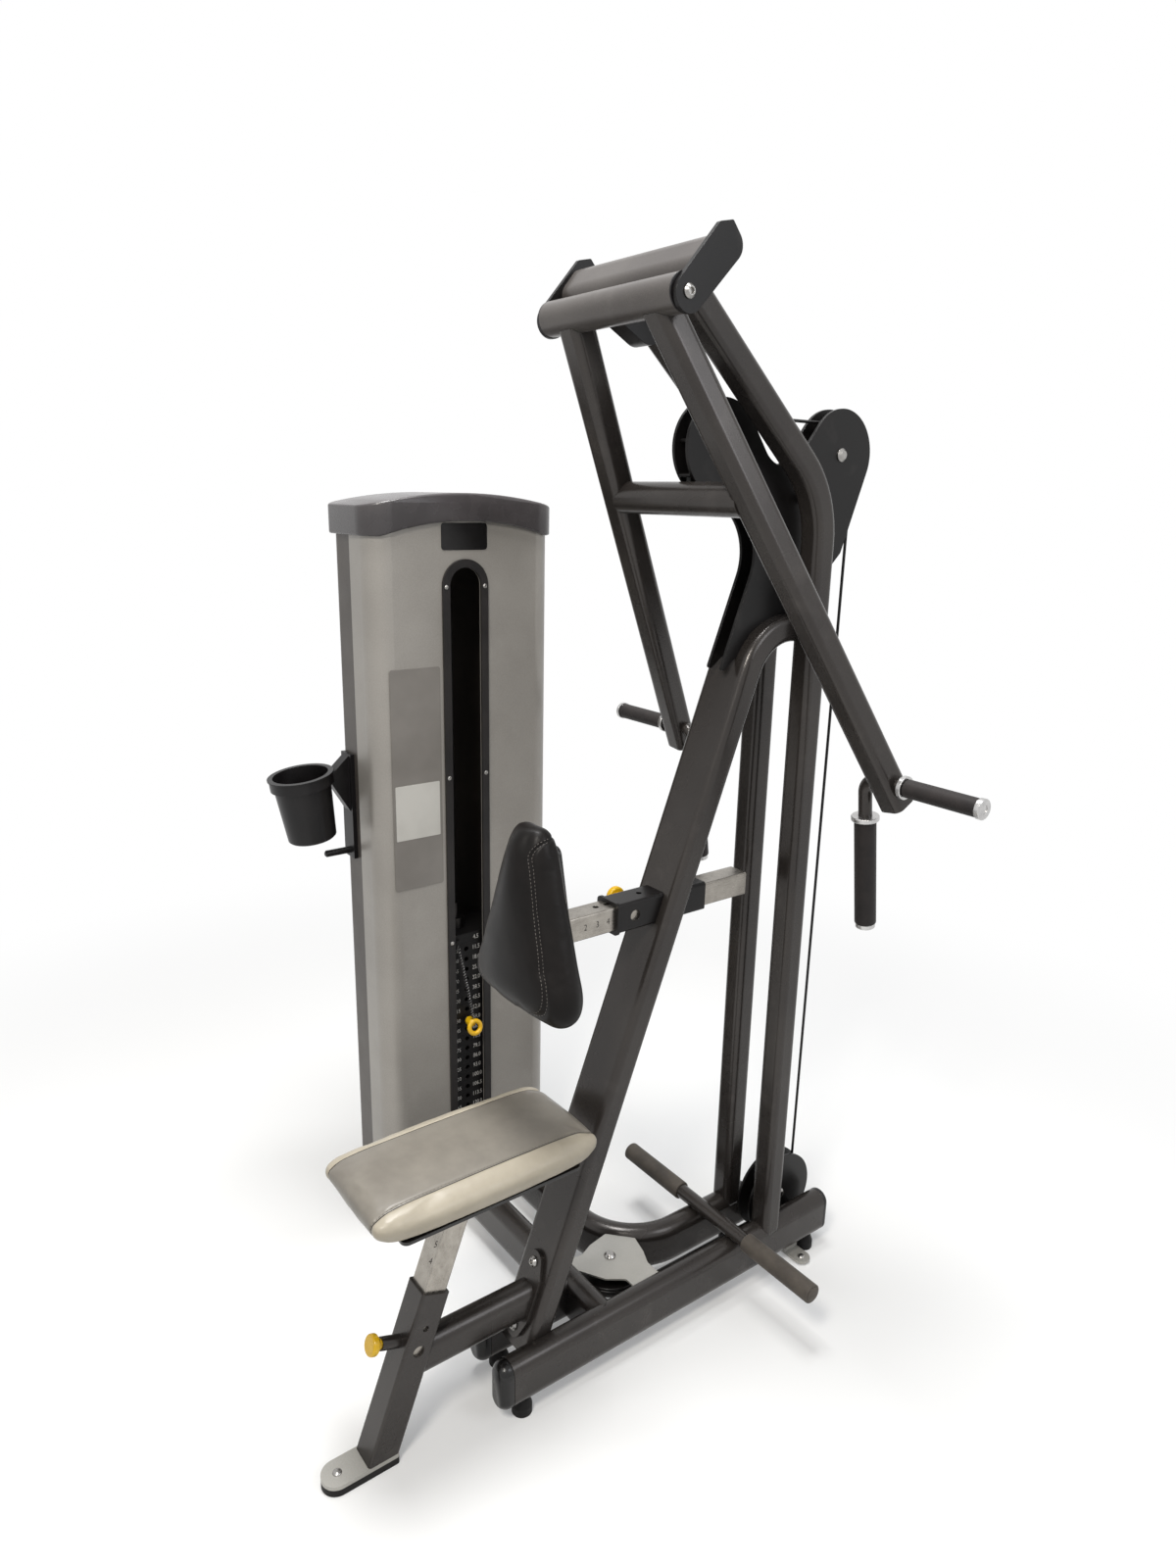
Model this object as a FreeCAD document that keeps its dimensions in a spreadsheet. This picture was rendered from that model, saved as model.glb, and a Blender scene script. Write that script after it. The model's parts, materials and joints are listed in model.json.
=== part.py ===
import FreeCAD, Part
import math
import os
import Sketcher

Vec = FreeCAD.Vector

# Driving dimensions, millimetres and degrees. The origin is on the floor under the seat post's foot,
# +X to the user's right, +Y the way the seated user faces, +Z up.
SIZES = {
    # Tube stock: square, and tall rounded rail
    "tube_side": 50.8, "tube_corner": 14.0, "tube_wall": 3.0,
    "rail_height": 101.6, "rail_width": 50.8, "rail_corner": 24.8,
    # Base
    "rail_x": 62.0, "rail_lift": 34.0, "rail_front_y": 281.0, "rail_rear_y": 1137.0,
    "stub_front_y": 306.0, "cross_y": 512.0, "curve_y": 645.0, "curve_radius": 150.0,
    "curve_rear_y": 1008.0, "base_reach_x": 660.0,
    "cap_thickness": 9.0, "cap_crown": 16.0, "rear_cap_crown": 4.0, "cap_inset": 10.0,
    "cap_shoulder_rise": 0.55, "cap_shoulder_inset": 0.3,
    "foot_radius": 20.0, "foot_neck": 14.0, "foot_setback": 32.0,
    "tab_x": 94.0, "tab_y": 1062.0, "tab_reach": 50.0, "tab_radius": 20.0, "tab_hole": 6.0,
    "tab_thickness": 6.0, "tab_lift": 4.0, "tab_riser": 18.0,
    # Foot bar
    "foot_bar_y": 862.0, "foot_bar_reach": 292.0, "foot_bar_radius": 15.9, "foot_bar_bite": 1.5,
    "foot_grip_radius": 20.5, "foot_grip_start": 105.0, "foot_plug_thickness": 4.0,
    "foam_fit": 0.1, "foam_edge": 3.0,
    # Bolts
    "bolt_radius": 6.0, "bolt_fit": 0.1, "pivot_bolt_head": 10.5, "pivot_bolt_height": 6.5, "pivot_bolt_depth": 24.0,
    "socket_share": 0.45, "socket_floor_share": 0.4, "dome_rim_share": 0.35, "dome_shoulder_share": 0.62,
    # Head and uprights
    "head_tube_y": 571.0, "head_tube_z": 2033.0, "head_tube_height": 76.2, "head_tube_turn": 51.5,
    "head_plate_x": 170.0, "head_plate_thickness": 8.0,
    "fin_heel_y": 2.0, "fin_heel_drop": 3.0, "fin_heel_radius": 27.0, "fin_back_y": 78.0, "fin_back_z": 72.0,
    "fin_back_radius": 24.0, "fin_tip_y": 79.0, "fin_tip_z": 101.0, "fin_tip_radius": 4.0,
    "fin_brow_y": 57.0, "fin_brow_z": 96.0,
    "upright_y": 965.0, "upright_bend_z": 1705.0, "upright_bend_radius": 190.0, "upright_offset": 22.0,
    # Inclined tube
    "incline_width": 101.6, "incline_base_y": 368.0, "incline_lean": 20.3, "incline_depth": 45.0,
    "incline_top_z": 1460.0, "incline_bend_radius": 110.0,
    # Pivot and swing arms
    "pivot_y": 517.0, "pivot_z": 1983.0, "pivot_tube_radius": 28.6, "pivot_tube_wall": 5.0,
    "pivot_gap": 3.0, "side_play": 0.3, "pivot_shaft_radius": 12.5, "shaft_fit": 0.05, "bush_length": 30.0,
    "lug_root_radius": 20.0, "lug_back": 61.0, "lug_drop": 22.0, "lug_radius": 30.0, "lug_width": 38.0,
    "arm_tilt": 29.0, "arm_top_x": 106.0, "arm_splay": 11.4, "arm_length": 948.0,
    "crossbar_drop": 330.0, "crossbar_radius": 28.6,
    "handle_setback": 63.0, "handle_reach": 482.0, "handle_bar_radius": 12.7,
    "handle_grip_radius": 16.8, "grip_ring_radius": 21.5, "grip_ring_thickness": 9.0, "collar_offset": 8.0,
    "end_ring_radius": 18.6, "inner_ring_radius": 26.0, "ring_edge": 1.2,
    "inner_grip_x": 236.0, "inner_grip_lean": 21.0, "elbow_radius": 30.0,
    "inner_grip_start": 76.0, "inner_grip_length": 224.0,
    # Seat
    "sleeve_y": 42.0, "seat_lean": 20.3, "sleeve_side": 57.2, "sleeve_wall": 5.0, "sleeve_corner": 6.0,
    "sleeve_top_z": 324.0, "post_side": 46.8, "post_corner": 4.0, "post_wall": 4.0,
    "seat_top_z": 605.0, "seat_length": 456.0, "seat_width": 290.0, "seat_height": 72.0, "seat_crown": 5.0,
    "belly_share": 0.42, "seat_middle_y": 230.0, "seat_hole_pitch": 31.75, "seat_hole_count": 7,
    "seat_post_low": 60.0, "seat_pin_z": 226.0, "seat_hole_drop": 6.0,
    "foot_plate_thickness": 8.0, "foot_pad_thickness": 14.0, "foot_plate_half": 29.0, "foot_plate_nose_y": -36.0,
    "foot_plate_rear_y": 72.0, "foot_plate_corner": 5.0,
    "seat_arm_z": 190.0, "seat_arm_height": 76.2, "flange_thickness": 8.0, "flange_half_width": 32.0,
    "flange_lobe_radius": 22.0, "flange_bolt_rise": 66.0, "flange_shoulder": 40.0,
    # Pull pins
    "pin_bore": 5.6, "pin_radius": 5.5, "barrel_radius": 12.0, "barrel_height": 26.0, "seat_barrel_height": 38.0, "knob_gap": 0.4,
    "knob_neck": 9.0, "knob_neck_height": 9.0, "knob_radius": 19.0, "knob_height": 13.0, "knob_edge": 4.0,
    "side_hole_radius": 11.0, "side_hole_setback": 44.0, "lip_reach": 3.0, "lip_thickness": 6.0,
    # Chest pad
    "chest_z": 948.0, "chest_front_y": 305.0, "chest_lip_y": 538.0,
    "chest_sleeve_end_y": 757.0, "chest_post_end_y": 873.0, "chest_hole_pitch": 25.4, "chest_hole_count": 10,
    "chest_hole_back": 4, "chest_pin_y": 612.0,
    "chest_half_width": 142.0, "chest_low_z": 820.0, "chest_height": 338.0, "chest_back_y": 403.0,
    "chest_face_lean": 3.8, "chest_crown": 4.0, "chest_belly_share": 0.36,
    "chest_plate_low": 84.0, "chest_plate_top": 18.0, "chest_plate_rise": 44.0, "chest_plate_corner": 16.0,
    "pad_plate_thickness": 6.0, "pad_plate_share": 0.78, "pad_plate_corner": 12.0,
    # Pulleys and cable
    "pulley_pitch": 57.0, "pulley_width": 22.0, "pulley_rim": 61.0, "cable_radius": 3.0, "cable_fit": 0.05,
    "groove_half": 3.4, "lip_share": 0.62, "rim_depth": 10.0, "web_share": 0.4, "hub_radius": 17.0,
    "axle_radius": 8.0, "axle_fit": 0.05, "axle_head_radius": 12.5, "axle_head_height": 7.0,
    "front_axle_y": 752.0, "upper_axle_z": 1781.0, "rear_axle_y": 1062.0,
    "base_axle_y": 1055.0, "base_axle_z": 137.0, "guard_radius": 97.0, "guard_thickness": 5.0, "guard_spread": 42.0,
    "floor_axle_y": 615.0, "top_axle_z": 1566.0,
    "plate_x": 14.0, "plate_thickness": 6.0, "lobe_radius": 84.0, "plate_corner": 5.0,
    "plate_toe_y": 776.0, "plate_toe_z": 1393.0, "plate_back_y": 1078.0, "plate_back_z": 1600.0,
    "dip_y": 906.0, "dip_z": 1756.0, "dip_radius": 60.0, "waist_y": 845.0, "waist_z": 1594.0, "waist_radius": 100.0,
    "tie_radius": 9.0, "tie_high_z": 1700.0, "tie_low_z": 1530.0, "waist_tie_y": 872.0, "waist_tie_high_z": 1650.0,
    "waist_tie_low_z": 1520.0,
    "keeper_reach": 68.0, "keeper_rise": 10.0, "keeper_drop": 47.0, "keeper_radius": 3.2,
    "cheek_gap": 1.5, "cheek_width": 56.0, "cheek_tail": 24.0,
    "anchor_height": 12.0, "anchor_radius": 6.5,
    "cover_drop": 16.0, "cover_thickness": 4.0, "cover_near_y": 601.0, "cover_far_y": 669.0, "cover_overlap": 4.0,
    "cover_scallop": 14.0, "cover_far_scallop_x": 8.0, "cover_near_scallop_x": 24.0,
    "cover_shoulder_right": 24.0, "cover_shoulder_rise": 49.0, "cover_shoulder": 20.0,
    "cover_lip_right": 12.0, "cover_lip_rear": 79.0, "cover_lip_left": 60.0, "cover_lip_front": 34.0, "cover_lobe": 26.0, "cover_lobe_left": 26.0, "cover_lobe_drop": 8.0,
    "cover_left_scallop_x": 51.0, "cover_left_scallop_y": 50.0, "cover_ear_left": 44.0, "cover_ear_right": 4.0,
    "cover_belly": 18.0, "cover_belly_right": 36.0, "cover_belly_drop": 36.0,
    # Tower
    "tower_front_x": 500.0, "tower_back_x": 688.0, "tower_seam_x": 597.0,
    "tower_y": 538.0, "tower_width": 432.0, "tower_foot_z": 44.0, "tower_shell_top": 1650.0,
    "tower_skin": 3.0, "tower_corner": 46.0, "tower_back_corner": 22.0, "seam_inset": 5.0, "leg_clearance": 3.0, "cable_notch": 24.0,
    "cap_low_z": 1612.0, "cap_high_z": 1670.0, "cap_crown_rise": 27.0, "cap_arch": 30.0, "arch_setback": 22.0, "cap_lip": 9.0,
    "cap_fit": 0.3, "cap_edge": 5.0,
    "window_width": 74.0, "window_low_z": 190.0, "window_top_z": 1549.0, "window_corner": 10.0,
    "bezel_width": 17.0, "bezel_depth": 5.0,
    "screw_head": 4.5, "screw_high_z": 1510.0, "screw_mid_z": 1105.0, "screw_low_z": 720.0,
    "name_plate_z": 1611.0, "name_plate_width": 108.0, "name_plate_height": 54.0, "sticker_thickness": 1.0,
    "placard_y": 412.0, "placard_z": 1109.0, "placard_width": 116.0, "placard_height": 479.0,
    "overrun": 5.0,
    # Weight stack
    "stack_x": 563.0, "stack_y": 532.0, "plate_depth": 102.0, "plate_span": 330.0, "plate_height": 25.1, "plate_edge": 4.0,
    "plate_pitch": 25.4, "plate_count": 20, "lifted_count": 9, "stack_low_z": 219.0,
    "rod_spread": 118.0, "rod_radius": 12.7, "rod_fit": 0.6, "rod_top_z": 1636.0,
    "stem_radius": 12.5, "stem_fit": 0.8, "stem_collar": 20.0, "collar_height": 26.0, "stem_neck": 8.0,
    "stem_rise": 60.0, "pin_hole_radius": 5.7, "pin_shank": 6.0, "pin_knob_radius": 14.0, "pin_knob_height": 20.0,
    "bumper_radius": 24.0, "base_plate_thickness": 10.0, "base_plate_x": 593.0, "base_plate_depth": 168.0,
    # Cup holder
    "cup_x": 649.0, "cup_reach": 112.0, "cup_rim_z": 1115.0, "cup_radius": 61.0, "cup_base_radius": 51.0,
    "cup_height": 142.0, "cup_wall": 3.0, "cup_flange": 8.0, "cup_fit": 0.4, "band_wall": 5.0, "band_height": 22.0,
    "bracket_half": 24.0, "bracket_thickness": 9.0, "bracket_low_z": 916.0, "bracket_height": 235.0,
    "gusset_depth": 100.0, "gusset_rise": 34.0, "gusset_share": 0.6,
    "hook_radius": 7.5, "hook_reach": 62.0, "cup_lean": 8.0,
    # Curly lanyard
    "lanyard_radius": 1.1, "lanyard_coil": 3.4, "lanyard_curls": 26, "lanyard_lead": 5.0, "lanyard_rest": 0.3, "flatness_share": 0.000001,
    "eye_reach": 9.0, "eye_width": 10.0, "eye_height": 8.0, "eye_offset": 26.0,
}

doc = FreeCAD.newDocument("SeatedRow")
sheet = doc.addObject("Spreadsheet::Sheet", "Sizes")
for row, (alias, amount) in enumerate(SIZES.items(), start=1):
    sheet.set(f"A{row}", alias)
    sheet.set(f"B{row}", f"{amount:g}")
    sheet.setAlias(f"B{row}", alias)
doc.recompute()


# A number together with the spreadsheet formula that it comes from
class Size(float):
    def __new__(cls, value, text):
        number = float.__new__(cls, value)
        number.text = text
        return number

    def __add__(self, other):
        return Size(float(self) + float(other), f"({self.text} + {formula(other)})")

    def __radd__(self, other):
        return Size(float(other) + float(self), f"({formula(other)} + {self.text})")

    def __sub__(self, other):
        return Size(float(self) - float(other), f"({self.text} - {formula(other)})")

    def __rsub__(self, other):
        return Size(float(other) - float(self), f"({formula(other)} - {self.text})")

    def __mul__(self, other):
        return Size(float(self) * float(other), f"({self.text} * {formula(other)})")

    def __rmul__(self, other):
        return Size(float(other) * float(self), f"({formula(other)} * {self.text})")

    def __truediv__(self, other):
        return Size(float(self) / float(other), f"({self.text} / {formula(other)})")

    def __rtruediv__(self, other):
        return Size(float(other) / float(self), f"({formula(other)} / {self.text})")

    def __neg__(self):
        return Size(-float(self), f"(-1 * {self.text})")


def formula(value):
    return value.text if isinstance(value, Size) else f"{float(value):.12g}"


# Every named size, read back from the sheet
class Sizes:
    pass


S = Sizes()
for alias in SIZES:
    setattr(S, alias, Size(sheet.get(alias), f"Sizes.{alias}"))


def sine(angle):
    return Size(math.sin(math.radians(angle)), f"sin({formula(angle)})")


def cosine(angle):
    return Size(math.cos(math.radians(angle)), f"cos({formula(angle)})")


def tangent(angle):
    return Size(math.tan(math.radians(angle)), f"tan({formula(angle)})")


def root(number):
    return Size(math.sqrt(number), f"sqrt({formula(number)})")


def slope(rise, run):
    degrees = math.degrees(math.atan2(rise, run))
    return Size(degrees, f"(atan2({formula(rise)}; {formula(run)}) / 1 deg)")


def bind(thing, prop, value):
    if isinstance(value, Size):
        thing.setExpression(prop, value.text)
    else:
        setattr(thing, prop, value)


# Placements are chains of moves and turns, each bound to the sheet
def at(x=0, y=0, z=0):
    numbers = FreeCAD.Placement(Vec(x, y, z), FreeCAD.Rotation())
    spot = f"{formula(x)}; {formula(y)}; {formula(z)}"
    return numbers, f"placement(vector({spot}); rotation(vector(0; 0; 1); 0))"


def turn(x, y, z, angle):
    numbers = FreeCAD.Placement(Vec(), FreeCAD.Rotation(Vec(x, y, z), float(angle)))
    spin = f"rotation(vector({x}; {y}; {z}); {formula(angle)})"
    return numbers, f"placement(vector(0; 0; 0); {spin})"


TO_RIGHT = turn(0, 1, 0, 90)
TO_LEFT = turn(0, 1, 0, -90)
TO_FRONT = turn(1, 0, 0, -90)
TO_BACK = turn(1, 0, 0, 90)
TO_FLOOR = turn(1, 0, 0, 180)


def numeric(steps):
    total = FreeCAD.Placement()
    for numbers, text in steps:
        total = total.multiply(numbers)
    return total


def place(thing, *steps):
    thing.setExpression("Placement", " * ".join(text for numbers, text in steps))
    return thing


# Sketch planes: XY grows up, XZ grows towards +Y, YZ grows towards +X
GROWTH = {"XY": 1, "XZ": -1, "YZ": 1}


def body(label):
    made = doc.addObject("PartDesign::Body", label)
    made.Label = label
    return made


def plane_of(owner, role):
    for feature in owner.Origin.OriginFeatures:
        if feature.Role == f"{role}_Plane":
            return feature
    raise ValueError(role)


def draw(owner, role="XY", lift=0, tilt=None):
    made = owner.newObject("Sketcher::SketchObject", f"{owner.Name}_sketch")
    made.AttachmentSupport = [(plane_of(owner, role), "")]
    made.MapMode = "FlatFace"
    steps = [at(0, 0, GROWTH[role] * lift)]
    if tilt is not None:
        steps.append(tilt)
    made.setExpression("AttachmentOffset", " * ".join(text for numbers, text in steps))
    return made


def fix(sketch, kind, element, point, value):
    if float(value) == 0 and not isinstance(value, Size):
        axis = -2 if kind == "DistanceX" else -1
        sketch.addConstraint(Sketcher.Constraint("PointOnObject", element, point, axis))
        return
    index = sketch.addConstraint(Sketcher.Constraint(kind, -1, 1, element, point, float(value)))
    if isinstance(value, Size):
        sketch.setExpression(f"Constraints[{index}]", value.text)


def round_off(sketch, element, radius):
    index = sketch.addConstraint(Sketcher.Constraint("Radius", element, float(radius)))
    if isinstance(radius, Size):
        sketch.setExpression(f"Constraints[{index}]", radius.text)


def ring(sketch, x, y, radius):
    element = sketch.addGeometry(Part.Circle(Vec(x, y), Vec(0, 0, 1), float(radius)), False)
    fix(sketch, "DistanceX", element, 3, x)
    fix(sketch, "DistanceY", element, 3, y)
    round_off(sketch, element, radius)
    return element


# A closed outline counter-clockwise round corner circles (x, y, radius), joined by their tangents:
# a negative radius is a hollow corner and zero a sharp one
def belt(sketch, corners):
    count = len(corners)
    leave = []
    arrive = []
    for index in range(count):
        x, y, r = (float(part) for part in corners[index])
        u, v, s = (float(part) for part in corners[(index + 1) % count])
        span = math.hypot(u - x, v - y)
        heading = math.atan2(v - y, u - x) - math.asin((s - r) / span)
        normal = Vec(-math.sin(heading), math.cos(heading))
        leave.append(Vec(x, y) - normal * r)
        arrive.append(Vec(u, v) - normal * s)
    lines = []
    for index in range(count):
        lines.append(sketch.addGeometry(Part.LineSegment(leave[index], arrive[index]), False))
    for index in range(count):
        x, y, r = corners[index]
        before = lines[index - 1]
        after = lines[index]
        if float(r) == 0:
            sketch.addConstraint(Sketcher.Constraint("Coincident", before, 2, after, 1))
            fix(sketch, "DistanceX", after, 1, x)
            fix(sketch, "DistanceY", after, 1, y)
            continue
        centre = Vec(x, y)
        begin = arrive[index - 1] - centre
        finish = leave[index] - centre
        if float(r) < 0:
            begin, finish = finish, begin
        a = math.atan2(begin.y, begin.x)
        b = math.atan2(finish.y, finish.x)
        if b < a:
            b += math.tau
        arc = sketch.addGeometry(
            Part.ArcOfCircle(Part.Circle(centre, Vec(0, 0, 1), abs(float(r))), a, b), False)
        first, last = (1, 2) if float(r) > 0 else (2, 1)
        sketch.addConstraint(Sketcher.Constraint("Tangent", before, 2, arc, first))
        sketch.addConstraint(Sketcher.Constraint("Tangent", arc, last, after, 1))
        fix(sketch, "DistanceX", arc, 3, x)
        fix(sketch, "DistanceY", arc, 3, y)
        round_off(sketch, arc, r if float(r) > 0 else -r)
    return lines


def rounded(sketch, x, y, width, height, corner):
    w = width / 2 - corner
    q = height / 2 - corner
    belt(sketch, [(x + w, y - q, corner), (x + w, y + q, corner),
                  (x - w, y + q, corner), (x - w, y - q, corner)])


def square(sketch, x, y, width, height):
    w = width / 2
    q = height / 2
    belt(sketch, [(x + w, y - q, 0), (x + w, y + q, 0), (x - w, y + q, 0), (x - w, y - q, 0)])


# An open centre line through its corners, each rounded to its bend radius
def route(sketch, points, radii):
    spots = [Vec(x, y) for x, y in points]
    ends = [spots[0]]
    arcs = []
    for index in range(1, len(spots) - 1):
        inward = (spots[index - 1] - spots[index]).normalize()
        outward = (spots[index + 1] - spots[index]).normalize()
        half = inward.getAngle(outward) / 2
        reach = float(radii[index - 1]) / math.tan(half)
        centre = spots[index] + (inward + outward).normalize() * (float(radii[index - 1]) / math.sin(half))
        start = spots[index] + inward * reach
        stop = spots[index] + outward * reach
        left_turn = (inward.x * outward.y - inward.y * outward.x) < 0
        arcs.append((centre, start, stop, left_turn, radii[index - 1]))
        ends += [start, stop]
    ends.append(spots[-1])
    lines = []
    for index in range(0, len(ends), 2):
        lines.append(sketch.addGeometry(Part.LineSegment(ends[index], ends[index + 1]), False))
    for index, (centre, start, stop, left_turn, radius) in enumerate(arcs):
        begin = start - centre
        finish = stop - centre
        if not left_turn:
            begin, finish = finish, begin
        a = math.atan2(begin.y, begin.x)
        b = math.atan2(finish.y, finish.x)
        if b < a:
            b += math.tau
        arc = sketch.addGeometry(
            Part.ArcOfCircle(Part.Circle(centre, Vec(0, 0, 1), float(radius)), a, b), False)
        first, last = (1, 2) if left_turn else (2, 1)
        sketch.addConstraint(Sketcher.Constraint("Tangent", lines[index], 2, arc, first))
        sketch.addConstraint(Sketcher.Constraint("Tangent", arc, last, lines[index + 1], 1))
        round_off(sketch, arc, radius)
        corner = sketch.addGeometry(Part.Point(spots[index + 1]), True)
        fix(sketch, "DistanceX", corner, 1, points[index + 1][0])
        fix(sketch, "DistanceY", corner, 1, points[index + 1][1])
        sketch.addConstraint(Sketcher.Constraint("PointOnObject", corner, 1, lines[index]))
        sketch.addConstraint(Sketcher.Constraint("PointOnObject", corner, 1, lines[index + 1]))
    fix(sketch, "DistanceX", lines[0], 1, points[0][0])
    fix(sketch, "DistanceY", lines[0], 1, points[0][1])
    fix(sketch, "DistanceX", lines[-1], 2, points[-1][0])
    fix(sketch, "DistanceY", lines[-1], 2, points[-1][1])


def pad(owner, sketch, length, role="XY"):
    made = owner.newObject("PartDesign::Pad", f"{owner.Name}_pad")
    made.Profile = sketch
    bind(made, "Length", length)
    made.Reversed = GROWTH[role] < 0
    return made


def pad_both(owner, sketch, length):
    made = owner.newObject("PartDesign::Pad", f"{owner.Name}_pad")
    made.Profile = sketch
    made.SideType = "Symmetric"
    bind(made, "Length", length)
    return made


def pocket(owner, sketch, depth, role="XY"):
    made = owner.newObject("PartDesign::Pocket", f"{owner.Name}_pocket")
    made.Profile = sketch
    bind(made, "Length", depth)
    made.Reversed = GROWTH[role] > 0
    return made


def bore(owner, sketch):
    made = owner.newObject("PartDesign::Pocket", f"{owner.Name}_bore")
    made.Profile = sketch
    made.SideType = "Symmetric"
    made.Type = "ThroughAll"
    return made


def sweep(owner, profile, spine):
    made = owner.newObject("PartDesign::AdditivePipe", f"{owner.Name}_pipe")
    made.Profile = profile
    made.Spine = (spine, [])
    return made


def spin(owner, corners):
    sketch = draw(owner, "XZ")
    belt(sketch, corners)
    made = owner.newObject("PartDesign::Revolution", f"{owner.Name}_turned")
    made.Profile = sketch
    made.ReferenceAxis = (sketch, ["V_Axis"])
    made.Angle = 360
    return made


def turned(label, corners, *steps):
    made = body(label)
    spin(made, corners)
    if steps:
        place(made, *steps)
    return made


# Straight bar of any outline, from start along its growth direction
def prism(label, role, start, length, outline, *steps):
    made = body(label)
    sketch = draw(made, role, start)
    outline(sketch)
    pad(made, sketch, length, role)
    if steps:
        place(made, *steps)
    return made


def rod(label, radius, length, *steps):
    made = doc.addObject("Part::Cylinder", label)
    made.Label = label
    bind(made, "Radius", radius)
    bind(made, "Height", length)
    place(made, *steps)
    return made


def box(label, length, width, height, *steps):
    made = doc.addObject("Part::Box", label)
    made.Label = label
    bind(made, "Length", length)
    bind(made, "Width", width)
    bind(made, "Height", height)
    place(made, *steps)
    return made


def cut(label, base, *tools):
    made = base
    for index, tool in enumerate(tools):
        step = doc.addObject("Part::Cut", label if index == len(tools) - 1 else f"{label}_trim")
        step.Base = made
        step.Tool = tool
        made = step
    made.Label = label
    return made


def fuse(label, *pieces):
    made = doc.addObject("Part::MultiFuse", label)
    made.Label = label
    made.Shapes = list(pieces)
    return made


def group(label, *pieces):
    made = doc.addObject("Part::Compound", label)
    made.Label = label
    made.Links = list(pieces)
    return made


def flipped(label, source, nx=1, ny=0, nz=0):
    made = doc.addObject("Part::Mirroring", label)
    made.Label = label
    made.Source = source
    made.Normal = Vec(nx, ny, nz)
    return made


NODES = []


def node(piece):
    NODES.append(piece)
    return piece


# Base tubes
rail_mid_z = S.rail_lift + S.rail_height / 2
rail_top_z = S.rail_lift + S.rail_height
stub_x = -S.rail_x


def tall_rail(sketch, inset=0):
    rounded(sketch, 0, 0, S.rail_width - 2 * inset, S.rail_height - 2 * inset, S.rail_corner - inset)


def hollow_rail(sketch):
    tall_rail(sketch)
    tall_rail(sketch, S.tube_wall)


def box_tube(sketch, inset=0):
    side = S.tube_side - 2 * inset
    rounded(sketch, 0, 0, side, side, S.tube_corner - inset)


def hollow_tube(sketch):
    box_tube(sketch)
    box_tube(sketch, S.tube_wall)


rail_length = S.rail_rear_y - S.rail_front_y
RIGHT_RAIL = at(S.rail_x, 0, rail_mid_z)
LEFT_RAIL = at(stub_x, 0, rail_mid_z)
right_rail_bar = prism("rail_bar", "XZ", S.rail_front_y, rail_length, tall_rail, RIGHT_RAIL)
node(prism("rail_right", "XZ", S.rail_front_y, rail_length, hollow_rail, RIGHT_RAIL))

cross_length = S.base_reach_x + S.rail_x
CROSS = at(-S.base_reach_x, S.cross_y, rail_mid_z)
cross_bar = prism("cross_bar", "YZ", 0, cross_length, tall_rail, CROSS)
cross_tube = prism("cross_hollow", "YZ", 0, cross_length, hollow_rail, CROSS)
node(cut("front_cross_tube", cross_tube, right_rail_bar))

stub_length = S.cross_y - S.stub_front_y
stub_bar = prism("stub_bar", "XZ", S.stub_front_y, stub_length, tall_rail, LEFT_RAIL)
stub_tube = prism("stub_hollow", "XZ", S.stub_front_y, stub_length, hollow_rail, LEFT_RAIL)
node(cut("rail_left_stub", stub_tube, cross_bar))


# Swept tube: the profile stands on one origin plane and the centre line is drawn on another
def bent(label, profile_role, outline, spine_role, points, radii, *steps):
    made = body(label)
    profile = draw(made, profile_role)
    outline(profile)
    spine = draw(made, spine_role)
    route(spine, points, radii)
    sweep(made, profile, spine)
    place(made, *steps)
    return made


curve_points = [(0, 0), (S.base_reach_x - S.rail_x, 0), (S.base_reach_x - S.rail_x, S.curve_rear_y - S.curve_y)]
CURVE = at(-S.base_reach_x, S.curve_y, rail_mid_z)
curve_bar = bent("curve_bar", "YZ", tall_rail, "XY", curve_points, [S.curve_radius], CURVE)
node(bent("curved_tube_left", "YZ", hollow_rail, "XY", curve_points, [S.curve_radius], CURVE))

# Moulded end caps: a lip against the tube's end and a crown that bulges out of it


def crowned_cap(label, role, spot, crown, *steps):
    made = body(label)
    lip = draw(made, role, 0)
    tall_rail(lip)
    pad(made, lip, S.cap_thickness, role)
    nose = draw(made, role, S.cap_thickness + crown)
    tall_rail(nose, S.cap_inset)
    shoulder = draw(made, role, S.cap_thickness + crown * S.cap_shoulder_rise)
    tall_rail(shoulder, S.cap_inset * S.cap_shoulder_inset)
    base = draw(made, role, S.cap_thickness)
    tall_rail(base)
    loft = made.newObject("PartDesign::AdditiveLoft", f"{label}_crown")
    loft.Profile = base
    loft.Sections = [shoulder, nose]
    doc.recompute()
    place(made, spot, *steps)
    return made


front_cap = crowned_cap("front_cap", "XZ", at(S.rail_x, S.rail_front_y, rail_mid_z), S.cap_crown, turn(0, 0, 1, 180))
stub_cap = crowned_cap("stub_cap", "XZ", at(stub_x, S.stub_front_y, rail_mid_z), S.cap_crown, turn(0, 0, 1, 180))
rear_cap = crowned_cap("rear_cap", "XZ", at(S.rail_x, S.rail_rear_y, rail_mid_z), S.rear_cap_crown)
curve_cap = crowned_cap("curve_cap", "XZ", at(stub_x, S.curve_rear_y, rail_mid_z), S.rear_cap_crown)
node(group("rail_caps", front_cap, stub_cap, rear_cap, curve_cap))

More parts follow.
